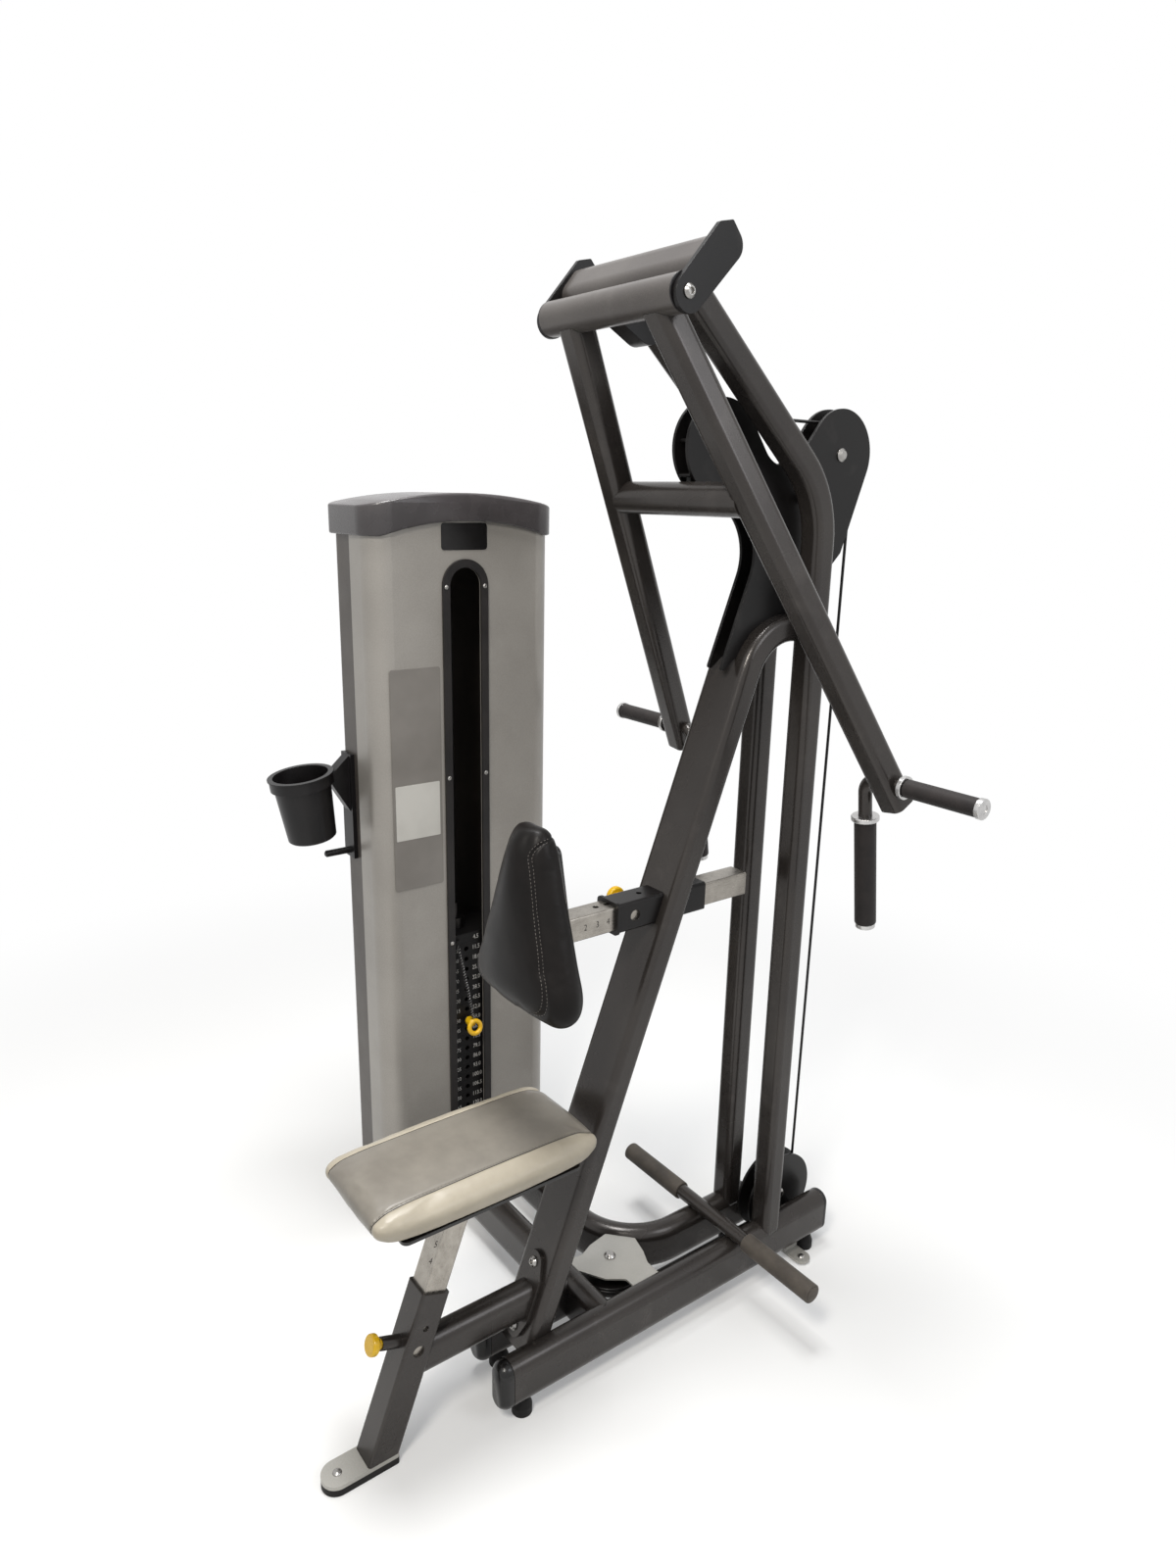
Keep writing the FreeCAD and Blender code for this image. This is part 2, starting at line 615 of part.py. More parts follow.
# Rubber feet fill the space between the tubes and the floor
RUBBER = []
BOLTS = []
foot_corners = [(0, 0, 0), (S.foot_radius, 0, 0), (S.foot_radius, S.rail_lift / 2, 0),
                (S.foot_neck, S.rail_lift, 0), (0, S.rail_lift, 0)]
for number, (x, y) in enumerate([(S.rail_x, S.rail_front_y + S.foot_setback),
                                 (stub_x, S.stub_front_y + S.foot_setback),
                                 (S.rail_x, S.rail_rear_y - S.foot_setback),
                                 (stub_x, S.curve_rear_y - S.foot_setback),
                                 (-S.base_reach_x + S.foot_setback, S.cross_y),
                                 (-S.base_reach_x + S.foot_setback, S.curve_y)]):
    RUBBER.append(turned(f"foot_{number}", foot_corners, at(x, y, 0)))


# Floor tab with an open bolt hole, under the rear of the right rail
def tab_outline(sketch):
    belt(sketch, [(-S.tab_reach, -S.tab_radius, 0), (0, 0, S.tab_radius), (-S.tab_reach, S.tab_radius, 0)])
    ring(sketch, 0, 0, S.tab_hole)


tab = prism("tab_blade", "XY", 0, S.tab_thickness, tab_outline, at(S.tab_x, S.tab_y, S.tab_lift))
tab_block = box("tab_block", S.tab_riser, 2 * S.tab_radius, S.rail_lift - S.tab_lift - S.tab_thickness,
                at(S.tab_x - S.tab_reach, S.tab_y - S.tab_radius, S.tab_lift + S.tab_thickness))
floor_tab = fuse("floor_tab", tab, tab_block)

# Foot bar
foot_bar_z = rail_top_z + S.foot_bar_radius - S.foot_bar_bite
foot_bar_length = 2 * S.foot_bar_reach
foot_bar_solid = rod("foot_bar_round", S.foot_bar_radius, foot_bar_length,
                     at(-S.foot_bar_reach, S.foot_bar_y, foot_bar_z), TO_RIGHT)
foot_bar_bore = rod("foot_bar_bore", S.foot_bar_radius - S.tube_wall, foot_bar_length,
                    at(-S.foot_bar_reach, S.foot_bar_y, foot_bar_z), TO_RIGHT)
node(cut("foot_bar", foot_bar_solid, foot_bar_bore, right_rail_bar, curve_bar))

grip_length = S.foot_bar_reach - S.foot_grip_start
foam_bore = S.foot_bar_radius + S.foam_fit
foam_corner = S.foam_edge
foam = [(foam_bore, 0, 0), (S.foot_grip_radius - foam_corner, foam_corner, foam_corner),
        (S.foot_grip_radius - foam_corner, grip_length - foam_corner, foam_corner),
        (foam_bore, grip_length, 0)]
grip_right = turned("foot_grip_right", foam, at(S.foot_grip_start, S.foot_bar_y, foot_bar_z), TO_RIGHT)
grip_left = flipped("foot_grip_left", grip_right)
plug = [(0, 0, 0), (S.foot_bar_radius, 0, 0), (S.foot_bar_radius, S.foot_plug_thickness / 3, 0),
        (S.foot_bar_radius / 2, S.foot_plug_thickness, 0), (0, S.foot_plug_thickness, 0)]
plug_right = turned("foot_plug", plug, at(S.foot_bar_reach, S.foot_bar_y, foot_bar_z), TO_RIGHT)
plug_left = flipped("foot_plug_left", plug_right)
node(group("foot_grips", grip_right, grip_left, plug_right, plug_left))

# Head: cross tube between two fin plates, pivot shaft


def head_outline(sketch, inset=0):
    rounded(sketch, 0, 0, S.head_tube_height - 2 * inset, S.rail_width - 2 * inset, S.rail_corner - inset)


def head_hollow(sketch):
    head_outline(sketch)
    head_outline(sketch, S.tube_wall)


HEAD = [at(0, S.head_tube_y, S.head_tube_z), turn(1, 0, 0, S.head_tube_turn)]
head_width = 2 * S.head_plate_x
head_bar = prism("head_bar", "YZ", -S.head_plate_x, head_width, head_outline, *HEAD)
node(prism("head_cross_tube", "YZ", -S.head_plate_x, head_width, head_hollow, *HEAD))


def fin_outline(sketch):
    belt(sketch, [(S.fin_heel_y, -S.fin_heel_drop, S.fin_heel_radius),
                  (S.fin_back_y, S.fin_back_z, S.fin_back_radius),
                  (S.fin_tip_y, S.fin_tip_z, S.fin_tip_radius),
                  (S.fin_brow_y, S.fin_brow_z, S.fin_tip_radius)])
    ring(sketch, 0, 0, S.bolt_radius + S.bolt_fit)


fin_right = prism("head_plate_right", "YZ", S.head_plate_x, S.head_plate_thickness, fin_outline,
                  at(0, S.pivot_y, S.pivot_z))
node(group("head_plates", fin_right, flipped("head_plate_left", fin_right)))

# Domed socket bolt: head on the plate, shank towards -Z


def dome_bolt(label, head_radius, head_height, shank_radius, shank_length, *steps):
    socket = head_radius * S.socket_share
    floor = head_height * S.socket_floor_share
    rim = head_height * S.dome_rim_share
    return turned(label, [(0, -shank_length, 0), (shank_radius, -shank_length, 0), (shank_radius, 0, 0),
                          (head_radius, 0, 0), (head_radius, rim, 0),
                          (head_radius * S.dome_shoulder_share, head_height, 0),
                          (socket, head_height, 0), (socket, floor, 0), (0, floor, 0)], *steps)


pivot_bolt_length = S.head_plate_thickness + S.pivot_bolt_depth
outer_x = S.head_plate_x + S.head_plate_thickness
bolt_right = dome_bolt("pivot_bolt", S.pivot_bolt_head, S.pivot_bolt_height, S.bolt_radius, pivot_bolt_length,
                       at(outer_x, S.pivot_y, S.pivot_z), TO_RIGHT)
BOLTS += [bolt_right, flipped("pivot_bolt_left", bolt_right)]

shaft_bore = S.bolt_radius + S.bolt_fit
shaft_depth = S.pivot_bolt_depth + S.bolt_fit
shaft = turned("pivot_shaft", [(shaft_bore, 0, 0), (S.pivot_shaft_radius, 0, 0),
                               (S.pivot_shaft_radius, head_width, 0), (shaft_bore, head_width, 0),
                               (shaft_bore, head_width - shaft_depth, 0), (0, head_width - shaft_depth, 0),
                               (0, shaft_depth, 0), (shaft_bore, shaft_depth, 0)],
               at(-S.head_plate_x, S.pivot_y, S.pivot_z), TO_RIGHT)
node(shaft)

# Uprights
upright_rise = S.upright_bend_z - rail_mid_z
upright_points = [(0, 0), (0, upright_rise),
                  (S.head_tube_y + S.upright_offset - S.upright_y, S.head_tube_z - rail_mid_z)]


def upright(label, outline, side):
    return bent(label, "XY", outline, "YZ", upright_points, [S.upright_bend_radius],
                at(side * S.rail_x, S.upright_y, rail_mid_z))


right_bar = upright("upright_bar_right", box_tube, 1)
left_bar = upright("upright_bar_left", box_tube, -1)
node(cut("upright_right", upright("upright_hollow_right", hollow_tube, 1), right_rail_bar, head_bar))
node(cut("upright_left", upright("upright_hollow_left", hollow_tube, -1), curve_bar, head_bar))

# Inclined tube: flat rectangular section, bent level at its top


def wide_tube(sketch, inset=0):
    rounded(sketch, 0, 0, S.incline_width - 2 * inset, S.tube_side - 2 * inset, S.tube_corner - inset)


def hollow_wide(sketch):
    wide_tube(sketch)
    wide_tube(sketch, S.tube_wall)


incline_start_z = rail_top_z - S.incline_depth
incline_start_y = S.incline_base_y - S.incline_depth * tangent(S.incline_lean)
INCLINE = [at(0, incline_start_y, incline_start_z), turn(1, 0, 0, -S.incline_lean)]
incline_run = (S.incline_top_z - incline_start_z) / cosine(S.incline_lean)
incline_top_y = incline_start_y + (S.incline_top_z - incline_start_z) * tangent(S.incline_lean)
level_run = S.upright_y - S.tube_side / 2 + S.tube_corner - incline_top_y
incline_points = [(0, 0), (0, incline_run),
                  (level_run * cosine(S.incline_lean), incline_run + level_run * sine(S.incline_lean))]
incline_bar = bent("incline_bar", "XY", wide_tube, "YZ", incline_points, [S.incline_bend_radius], *INCLINE)
incline_hollow = bent("incline_hollow", "XY", hollow_wide, "YZ", incline_points, [S.incline_bend_radius], *INCLINE)

# Chest pad slide: sleeve through the inclined tube, post, pull pin


def sleeve_outline(sketch):
    rounded(sketch, 0, 0, S.sleeve_side, S.sleeve_side, S.sleeve_corner)


def sleeve_bore(sketch):
    inner = S.sleeve_side - 2 * S.sleeve_wall
    rounded(sketch, 0, 0, inner, inner, S.post_corner)


def sleeve_hollow(sketch):
    sleeve_outline(sketch)
    sleeve_bore(sketch)


def post_outline(sketch, inset=0):
    side = S.post_side - 2 * inset
    rounded(sketch, 0, 0, side, side, S.post_corner - inset)


def post_hollow(sketch):
    post_outline(sketch)
    inner = S.post_side - 2 * S.post_wall
    square(sketch, 0, 0, inner, inner)


chest_lip_y = S.chest_lip_y
chest_sleeve_length = S.chest_sleeve_end_y - S.chest_lip_y
CHEST = at(0, 0, S.chest_z)
chest_bar = prism("chest_bar", "XZ", S.chest_lip_y, chest_sleeve_length, sleeve_outline, CHEST)


def lip_outline(sketch):
    side = S.sleeve_side + 2 * S.lip_reach
    rounded(sketch, 0, 0, side, side, S.sleeve_corner + S.lip_reach)
    sleeve_bore(sketch)


def sleeve(label, length, hole_rise, start):
    made = body(label)
    section = draw(made, "XZ", start)
    sleeve_hollow(section)
    pad(made, section, length, "XZ")
    doc.recompute()
    side = draw(made, "YZ", 0)
    ring(side, start + hole_rise, 0, S.side_hole_radius)
    hole = made.newObject("PartDesign::Pocket", f"{label}_side_hole")
    hole.Profile = side
    bind(hole, "Length", S.sleeve_side)
    hole.Reversed = True
    return made


# The pin's barrel stands on the sleeve wall and carries a spring plunger under a round knob
def barrel_corners(height):
    return [(S.pin_bore, 0, 0), (S.barrel_radius, 0, 0), (S.barrel_radius, height, 0), (S.pin_bore, height, 0)]


def knob_corners(height):
    top = height + S.knob_gap
    return [(0, -S.sleeve_wall, 0), (S.pin_radius, -S.sleeve_wall, 0), (S.pin_radius, top, 0),
            (S.knob_neck, top, 0), (S.knob_neck, top + S.knob_neck_height, 0),
            (S.knob_radius - S.knob_edge, top + S.knob_neck_height + S.knob_edge, S.knob_edge),
            (S.knob_radius - S.knob_edge, top + S.knob_neck_height + S.knob_height - S.knob_edge, S.knob_edge),
            (0, top + S.knob_neck_height + S.knob_height, 0)]


chest_sleeve = sleeve("chest_sleeve_tube", chest_sleeve_length, S.side_hole_setback, S.chest_lip_y)
place(chest_sleeve, CHEST)
chest_lip = prism("chest_lip", "XZ", S.chest_lip_y, S.lip_thickness, lip_outline, CHEST)
chest_pin_y = S.chest_pin_y
chest_pin_hole = rod("chest_pin_hole", S.pin_bore, S.sleeve_side, at(0, chest_pin_y, S.chest_z), TO_LEFT)
chest_top_hole = rod("chest_top_hole", S.pin_bore, S.sleeve_side, at(0, chest_pin_y, S.chest_z))
CHEST_PIN = [at(-S.sleeve_side / 2, chest_pin_y, S.chest_z), TO_LEFT]
chest_barrel = turned("chest_pin_barrel", barrel_corners(S.barrel_height), *CHEST_PIN)
node(cut("chest_sleeve", fuse("chest_sleeve_lipped", chest_sleeve, chest_lip, chest_barrel), chest_pin_hole,
         chest_top_hole))
node(turned("chest_pin_knob", knob_corners(S.barrel_height), *CHEST_PIN))

node(cut("incline_tube", incline_hollow, right_rail_bar, stub_bar, right_bar, left_bar, chest_bar))

# Seat support: leaning sleeve on a foot plate, joined to the inclined tube by an arm
foot_top_z = S.foot_pad_thickness + S.foot_plate_thickness
SEAT = [at(0, S.sleeve_y, foot_top_z), turn(1, 0, 0, -S.seat_lean)]
seat_sleeve_length = (S.sleeve_top_z - foot_top_z) / cosine(S.seat_lean)
skirt = S.sleeve_side * sine(S.seat_lean)


def foot_plate_outline(sketch, inset=0):
    corner = S.foot_plate_half - inset
    belt(sketch, [(0, S.foot_plate_nose_y, corner),
                  (S.foot_plate_half - inset - S.foot_plate_corner, S.foot_plate_rear_y - inset - S.foot_plate_corner,
                   S.foot_plate_corner),
                  (S.foot_plate_corner - S.foot_plate_half + inset, S.foot_plate_rear_y - inset - S.foot_plate_corner,
                   S.foot_plate_corner)])


def drilled_foot(sketch):
    foot_plate_outline(sketch)
    ring(sketch, 0, S.foot_plate_nose_y, S.tab_hole)


RUBBER.append(prism("seat_foot_pad", "XY", 0, S.foot_pad_thickness, drilled_foot))
node(group("floor_plates", prism("seat_foot_plate", "XY", S.foot_pad_thickness, S.foot_plate_thickness, drilled_foot),
           floor_tab))


def upright_sleeve(label, outline):
    return prism(label, "XY", -skirt, seat_sleeve_length + skirt, outline, *SEAT)


floor_block = box("floor_block", 4 * S.sleeve_side, 4 * S.sleeve_side, S.sleeve_side + foot_top_z,
                  at(-2 * S.sleeve_side, S.sleeve_y - 2 * S.sleeve_side, -S.sleeve_side))
seat_bar = upright_sleeve("seat_bar", sleeve_outline)
seat_tube = upright_sleeve("seat_tube", sleeve_hollow)
seat_pin_reach = (S.seat_pin_z - foot_top_z) / cosine(S.seat_lean)
seat_hole_reach = seat_pin_reach - S.seat_hole_drop
seat_pin_hole = rod("seat_pin_hole", S.pin_bore, S.sleeve_side, *SEAT, at(0, 0, seat_pin_reach), TO_BACK)
seat_side_hole = rod("seat_side_hole", S.side_hole_radius, S.sleeve_side, *SEAT, at(0, 0, seat_hole_reach), TO_RIGHT)
seat_small_hole = rod("seat_small_hole", S.pin_bore, S.sleeve_side, *SEAT,
                      at(0, 0, seat_hole_reach + S.side_hole_setback), TO_RIGHT)
SEAT_PIN = [*SEAT, at(0, -S.sleeve_side / 2, seat_pin_reach), TO_BACK]
seat_barrel = turned("seat_pin_barrel", barrel_corners(S.seat_barrel_height), *SEAT_PIN)
seat_drilled = cut("seat_drilled", seat_tube, floor_block, seat_pin_hole, seat_side_hole, seat_small_hole)
node(fuse("seat_sleeve", seat_drilled, seat_barrel))
node(turned("seat_pin_knob", knob_corners(S.seat_barrel_height), *SEAT_PIN))


def arm_outline(sketch, inset=0):
    rounded(sketch, 0, 0, S.rail_width - 2 * inset, S.seat_arm_height - 2 * inset, S.rail_corner - inset)


def arm_hollow(sketch):
    arm_outline(sketch)
    arm_outline(sketch, S.tube_wall)


# Front face of the inclined tube, as a frame whose local Y points out of the face's back
flange_y = S.incline_base_y + (S.seat_arm_z - rail_top_z) * tangent(S.incline_lean)
FLANGE = [at(0, flange_y, S.seat_arm_z), turn(1, 0, 0, -S.incline_lean),
          at(0, -S.tube_side / 2 - S.flange_thickness, 0)]
arm_start_y = S.sleeve_y + (S.seat_arm_z - foot_top_z) * tangent(S.seat_lean)
arm_run = flange_y - arm_start_y
arm_bar = prism("seat_arm_bar", "XZ", arm_start_y, arm_run, arm_hollow, at(0, 0, S.seat_arm_z))
face_block = box("face_block", 4 * S.sleeve_side, 4 * S.sleeve_side, 8 * S.sleeve_side,
                 *FLANGE, at(-2 * S.sleeve_side, 0, -4 * S.sleeve_side))
seat_arm_tube = cut("seat_arm_tube", arm_bar, seat_bar, face_block)


def flange_outline(sketch):
    waist = S.flange_half_width
    lobe = S.flange_lobe_radius
    belt(sketch, [(waist - S.tube_corner, -S.flange_shoulder, S.tube_corner),
                  (waist - S.tube_corner, S.flange_shoulder, S.tube_corner),
                  (0, S.flange_bolt_rise, lobe),
                  (S.tube_corner - waist, S.flange_shoulder, S.tube_corner),
                  (S.tube_corner - waist, -S.flange_shoulder, S.tube_corner),
                  (0, -S.flange_bolt_rise, lobe)])
    ring(sketch, 0, S.flange_bolt_rise, S.bolt_radius + S.bolt_fit)
    ring(sketch, 0, -S.flange_bolt_rise, S.bolt_radius + S.bolt_fit)


seat_flange = prism("seat_arm_flange", "XZ", 0, S.flange_thickness, flange_outline, *FLANGE)
node(fuse("seat_arm", seat_arm_tube, seat_flange))
for side in (1, -1):
    BOLTS.append(dome_bolt(f"flange_bolt_{side + 1}", S.pivot_bolt_head, S.pivot_bolt_height, S.bolt_radius,
                                  S.flange_thickness, *FLANGE, at(0, 0, side * S.flange_bolt_rise), TO_BACK))

# Seat post, plate and pad (one sliding group)
post_low = S.seat_post_low
post_top_reach = (S.seat_top_z - S.seat_height - S.pad_plate_thickness - foot_top_z) / cosine(S.seat_lean)
holes_low = seat_pin_reach


def drilled_post(label, start, length, hole_start, pitch, count, role, hole_role):
    made = body(label)
    section = draw(made, role, start)
    post_hollow(section)
    pad(made, section, length, role)
    doc.recompute()
    rise = draw(made, hole_role, 0)
    for index in range(int(count)):
        ring(rise, 0, hole_start + index * pitch, S.pin_bore)
    hole = made.newObject("PartDesign::Pocket", f"{label}_holes")
    hole.Profile = rise
    bind(hole, "Length", S.post_side)
    hole.Reversed = hole_role == "XY"
    return made


seat_post_tube = drilled_post("seat_post_tube", post_low, post_top_reach + skirt - post_low, holes_low,
                              S.seat_hole_pitch, S.seat_hole_count, "XY", "XZ")
place(seat_post_tube, *SEAT)
seat_plate_z = S.seat_top_z - S.seat_height - S.pad_plate_thickness
ceiling_block = box("ceiling_block", 4 * S.sleeve_side, 8 * S.sleeve_side, 4 * S.sleeve_side,
                    at(-2 * S.sleeve_side, S.seat_middle_y - 4 * S.sleeve_side, seat_plate_z))
seat_post_cut = cut("seat_post_cut", seat_post_tube, ceiling_block)


def seat_plate_outline(sketch):
    rounded(sketch, 0, S.seat_middle_y, S.seat_width * S.pad_plate_share, S.seat_length * S.pad_plate_share,
            S.pad_plate_corner)


seat_plate = prism("seat_plate", "XY", seat_plate_z, S.pad_plate_thickness, seat_plate_outline)
node(fuse("seat_post", seat_post_cut, seat_plate))

# Cushion: sections along its length grow from a rounded nose, crown upward and draw in below


def cushion(sections, low):
    swell = Part.makeLoft(sections, True, False)
    room = swell.BoundBox
    margin = float(S.overrun)
    return swell.common(Part.makeBox(room.XLength + 2 * margin, room.YLength + 2 * margin, room.ZLength,
                                     Vec(room.XMin - margin, room.YMin - margin, low)))


def cushion_section(y, half, low, high, crown, belly):
    corner = (high - low) * belly
    side_low = Vec(-half + corner, y, low)
    points = [side_low, Vec(half - corner, y, low)]
    right = Part.Arc(points[1], Vec(half, y, (low + high - corner) / 2), Vec(half - corner, y, high - corner / 3))
    top = Part.Arc(Vec(half - corner, y, high - corner / 3), Vec(0, y, high + crown), Vec(corner - half, y, high - corner / 3))
    left = Part.Arc(Vec(corner - half, y, high - corner / 3), Vec(-half, y, (low + high - corner) / 2), side_low)
    return Part.Wire([Part.LineSegment(*points).toShape(), right.toShape(), top.toShape(), left.toShape()])


seat_low_z = S.seat_top_z - S.seat_height
seat_front_y = S.seat_middle_y - S.seat_length / 2
SEAT_STATION_SHARES = (0.0, 0.02, 0.06, 0.14, 0.3, 0.5, 0.7, 0.86, 0.94, 0.98, 1.0)
SEAT_RISE_SHARES = (0.58, 0.78, 0.9, 0.96, 0.985, 0.99, 0.985, 0.96, 0.9, 0.78, 0.58)
SEAT_FALL_SHARES = (0.36, 0.2, 0.08, 0.02, 0.0, 0.0, 0.0, 0.02, 0.08, 0.2, 0.36)
SEAT_WIDTH_SHARES = (0.78, 0.86, 0.92, 0.965, 0.99, 1.0, 0.99, 0.965, 0.92, 0.86, 0.78)
seat_sections = []
for station, rise, fall, width in zip(SEAT_STATION_SHARES, SEAT_RISE_SHARES, SEAT_FALL_SHARES, SEAT_WIDTH_SHARES):
    seat_sections.append(cushion_section(float(seat_front_y) + float(S.seat_length) * station,
                                         float(S.seat_width) / 2 * width,
                                         float(seat_low_z) + float(S.seat_height) * fall,
                                         float(seat_low_z) + float(S.seat_height) * rise,
                                         float(S.seat_crown), float(S.belly_share)))
seat_pad = doc.addObject("Part::Feature", "seat_pad")
seat_pad.Label = "seat_pad"
seat_pad.Shape = cushion(seat_sections, float(seat_low_z))
node(seat_pad)

# Chest post, plate and pad (one sliding group)
chest_post_start = S.chest_back_y + S.pad_plate_thickness
chest_post_length = S.chest_post_end_y - chest_post_start
chest_post = body("chest_post_tube")
section = draw(chest_post, "XZ", chest_post_start)
post_hollow(section)
pad(chest_post, section, chest_post_length, "XZ")
doc.recompute()
top_holes = draw(chest_post, "XY", 0)
for index in range(int(S.chest_hole_count)):
    ring(top_holes, 0, chest_pin_y + (index - S.chest_hole_back) * S.chest_hole_pitch, S.pin_bore)
top_pocket = chest_post.newObject("PartDesign::Pocket", "chest_post_holes")
top_pocket.Profile = top_holes
bind(top_pocket, "Length", S.post_side)
top_pocket.Reversed = True
doc.recompute()
pin_holes = draw(chest_post, "YZ", 0)
for index in range(int(S.chest_hole_count)):
    ring(pin_holes, chest_pin_y + (index - S.chest_hole_back) * S.chest_hole_pitch, 0, S.pin_bore)
pin_pocket = chest_post.newObject("PartDesign::Pocket", "chest_pin_holes")
pin_pocket.Profile = pin_holes
bind(pin_pocket, "Length", S.post_side)
place(chest_post, CHEST)
chest_stop = dome_bolt("chest_stop_bolt", S.pivot_bolt_head * S.socket_share * 2, S.pivot_bolt_height, S.pin_radius,
                       S.post_wall, at(0, S.chest_post_end_y - S.side_hole_setback, S.chest_z - S.post_side / 2),
                       TO_FLOOR)


def chest_plate_outline(sketch):
    corner = S.chest_plate_corner
    low = S.chest_low_z + S.chest_plate_rise + corner
    high = S.chest_low_z + S.chest_height - S.chest_plate_rise - corner
    belt(sketch, [(S.chest_plate_low - corner, low, corner), (S.chest_plate_top, high, corner),
                  (-S.chest_plate_top, high, corner), (corner - S.chest_plate_low, low, corner)])


chest_plate = prism("chest_plate", "XZ", S.chest_back_y, S.pad_plate_thickness, chest_plate_outline)
stop_hole = rod("stop_hole", S.pin_bore, S.post_side / 2,
                at(0, S.chest_post_end_y - S.side_hole_setback, S.chest_z), TO_FLOOR)
node(group("chest_post", cut("chest_post_drilled", fuse("chest_post_welded", chest_post, chest_plate), stop_hole),
           chest_stop))


# Chest cushion: level sections up its height, a wide flat foot narrowing to a rounded top, its face leaning
CHEST_STATION_SHARES = (0.0, 0.02, 0.06, 0.12, 0.25, 0.45, 0.65, 0.82, 0.92, 0.975, 1.0)
CHEST_WIDTH_SHARES = (0.82, 0.92, 0.98, 0.985, 0.905, 0.735, 0.56, 0.425, 0.34, 0.27, 0.18)
CHEST_RISE_SHARES = (0.56, 0.75, 0.89, 0.97, 1.0, 1.0, 1.0, 0.98, 0.91, 0.76, 0.58)
CHEST_FALL_SHARES = (0.36, 0.2, 0.08, 0.0, 0.0, 0.0, 0.0, 0.0, 0.06, 0.18, 0.34)
chest_sections = []
for station, width, rise, fall in zip(CHEST_STATION_SHARES, CHEST_WIDTH_SHARES, CHEST_RISE_SHARES, CHEST_FALL_SHARES):
    above = float(S.chest_height) * station
    thick = float(S.chest_back_y - S.chest_front_y) - above * math.tan(math.radians(float(S.chest_face_lean)))
    back = -float(S.chest_back_y)
    chest_sections.append(cushion_section(float(S.chest_low_z) + above, float(S.chest_half_width) * width,
                                          back + thick * fall, back + thick * rise,
                                          float(S.chest_crown), float(S.chest_belly_share)))
chest_pad = doc.addObject("Part::Feature", "chest_pad")
chest_pad.Label = "chest_pad"
chest_pad.Shape = cushion(chest_sections, -float(S.chest_back_y))
chest_pad.Placement = FreeCAD.Placement(Vec(), FreeCAD.Rotation(Vec(1, 0, 0), 90))
node(chest_pad)

# Swing arms: one welded group that hangs on the pivot shaft
PIVOT = [at(0, S.pivot_y, S.pivot_z), turn(1, 0, 0, S.arm_tilt)]
tube_half = S.head_plate_x - S.pivot_gap
flange_height = S.pivot_gap - S.side_play
pivot_round = rod("pivot_round", S.pivot_tube_radius, 2 * tube_half, *PIVOT, at(-tube_half, 0, 0), TO_RIGHT)
pivot_inner = rod("pivot_inner", S.pivot_tube_radius - S.pivot_tube_wall, 2 * tube_half,
                  *PIVOT, at(-tube_half, 0, 0), TO_RIGHT)
node(cut("pivot_tube", pivot_round, pivot_inner))
bush_out = S.pivot_tube_radius - S.pivot_tube_wall
bush_in = S.pivot_shaft_radius + S.shaft_fit
bush_right = turned("pivot_bush", [(bush_in, -S.bush_length, 0), (bush_out, -S.bush_length, 0), (bush_out, 0, 0),
                                   (S.pivot_tube_radius, 0, 0), (S.pivot_tube_radius, flange_height, 0),
                                   (bush_in, flange_height, 0)],
                    *PIVOT, at(tube_half, 0, 0), TO_RIGHT)
node(group("pivot_bearings", bush_right, flipped("pivot_bush_left", bush_right)))

# Stop lug behind the pivot tube


def lug_outline(sketch):
    belt(sketch, [(0, 0, S.lug_root_radius), (S.lug_back, -S.lug_drop, S.lug_radius)])


lug_bar = prism("lug_bar", "YZ", -S.lug_width / 2, S.lug_width, lug_outline, at(0, S.pivot_y, S.pivot_z))
stop_lug = cut("arm_stop_lug", lug_bar, pivot_round)

ARM = [*PIVOT, at(S.arm_top_x, 0, 0), turn(0, 1, 0, -S.arm_splay)]
arm_bar_right = prism("arm_bar_right", "XY", -S.arm_length, S.arm_length, box_tube, *ARM)
arm_hollow_right = prism("arm_hollow_right", "XY", -S.arm_length, S.arm_length, hollow_tube, *ARM)
arm_plug = prism("arm_plug_right", "XY", -S.arm_length - S.foot_plug_thickness, S.foot_plug_thickness, box_tube, *ARM)
arm_right = fuse("arm_right", cut("arm_coped", arm_hollow_right, pivot_round), arm_plug)
node(arm_right)
node(flipped("arm_left", arm_right))

crossbar_x = S.arm_top_x + S.crossbar_drop * tangent(S.arm_splay)
crossbar_half = crossbar_x - S.tube_corner
crossbar_round = rod("crossbar_round", S.crossbar_radius, 2 * crossbar_half,
                     *PIVOT, at(-crossbar_half, 0, -S.crossbar_drop), TO_RIGHT)
crossbar_inner = rod("crossbar_inner", S.crossbar_radius - S.tube_wall, 2 * crossbar_half,
                     *PIVOT, at(-crossbar_half, 0, -S.crossbar_drop), TO_RIGHT)
arm_bar_left = flipped("arm_bar_left", arm_bar_right)
node(cut("arm_crossbar", crossbar_round, crossbar_inner, arm_bar_right, arm_bar_left))

# Level handles: bar, collar ring, rubber grip, end ring with its plug
handle_drop = S.arm_length - S.handle_setback
handle_x = S.arm_top_x + handle_drop * tangent(S.arm_splay)
HANDLE = [*PIVOT, at(handle_x, 0, -handle_drop)]
handle_round = rod("handle_round", S.handle_bar_radius, S.handle_reach - handle_x - S.grip_ring_thickness / 2,
                   *HANDLE, TO_RIGHT)
collar_start = S.tube_side / 2 / cosine(S.arm_splay) + S.collar_offset
grip_start = collar_start + S.grip_ring_thickness
grip_end = S.handle_reach - handle_x - S.grip_ring_thickness
end_z = S.handle_reach - handle_x


def ring_corners(low, high, inner, outer):
    edge = S.ring_edge
    return [(inner, low, 0), (outer - edge, low, 0), (outer, low + edge, 0), (outer, high - edge, 0),
            (outer - edge, high, 0), (inner, high, 0)]


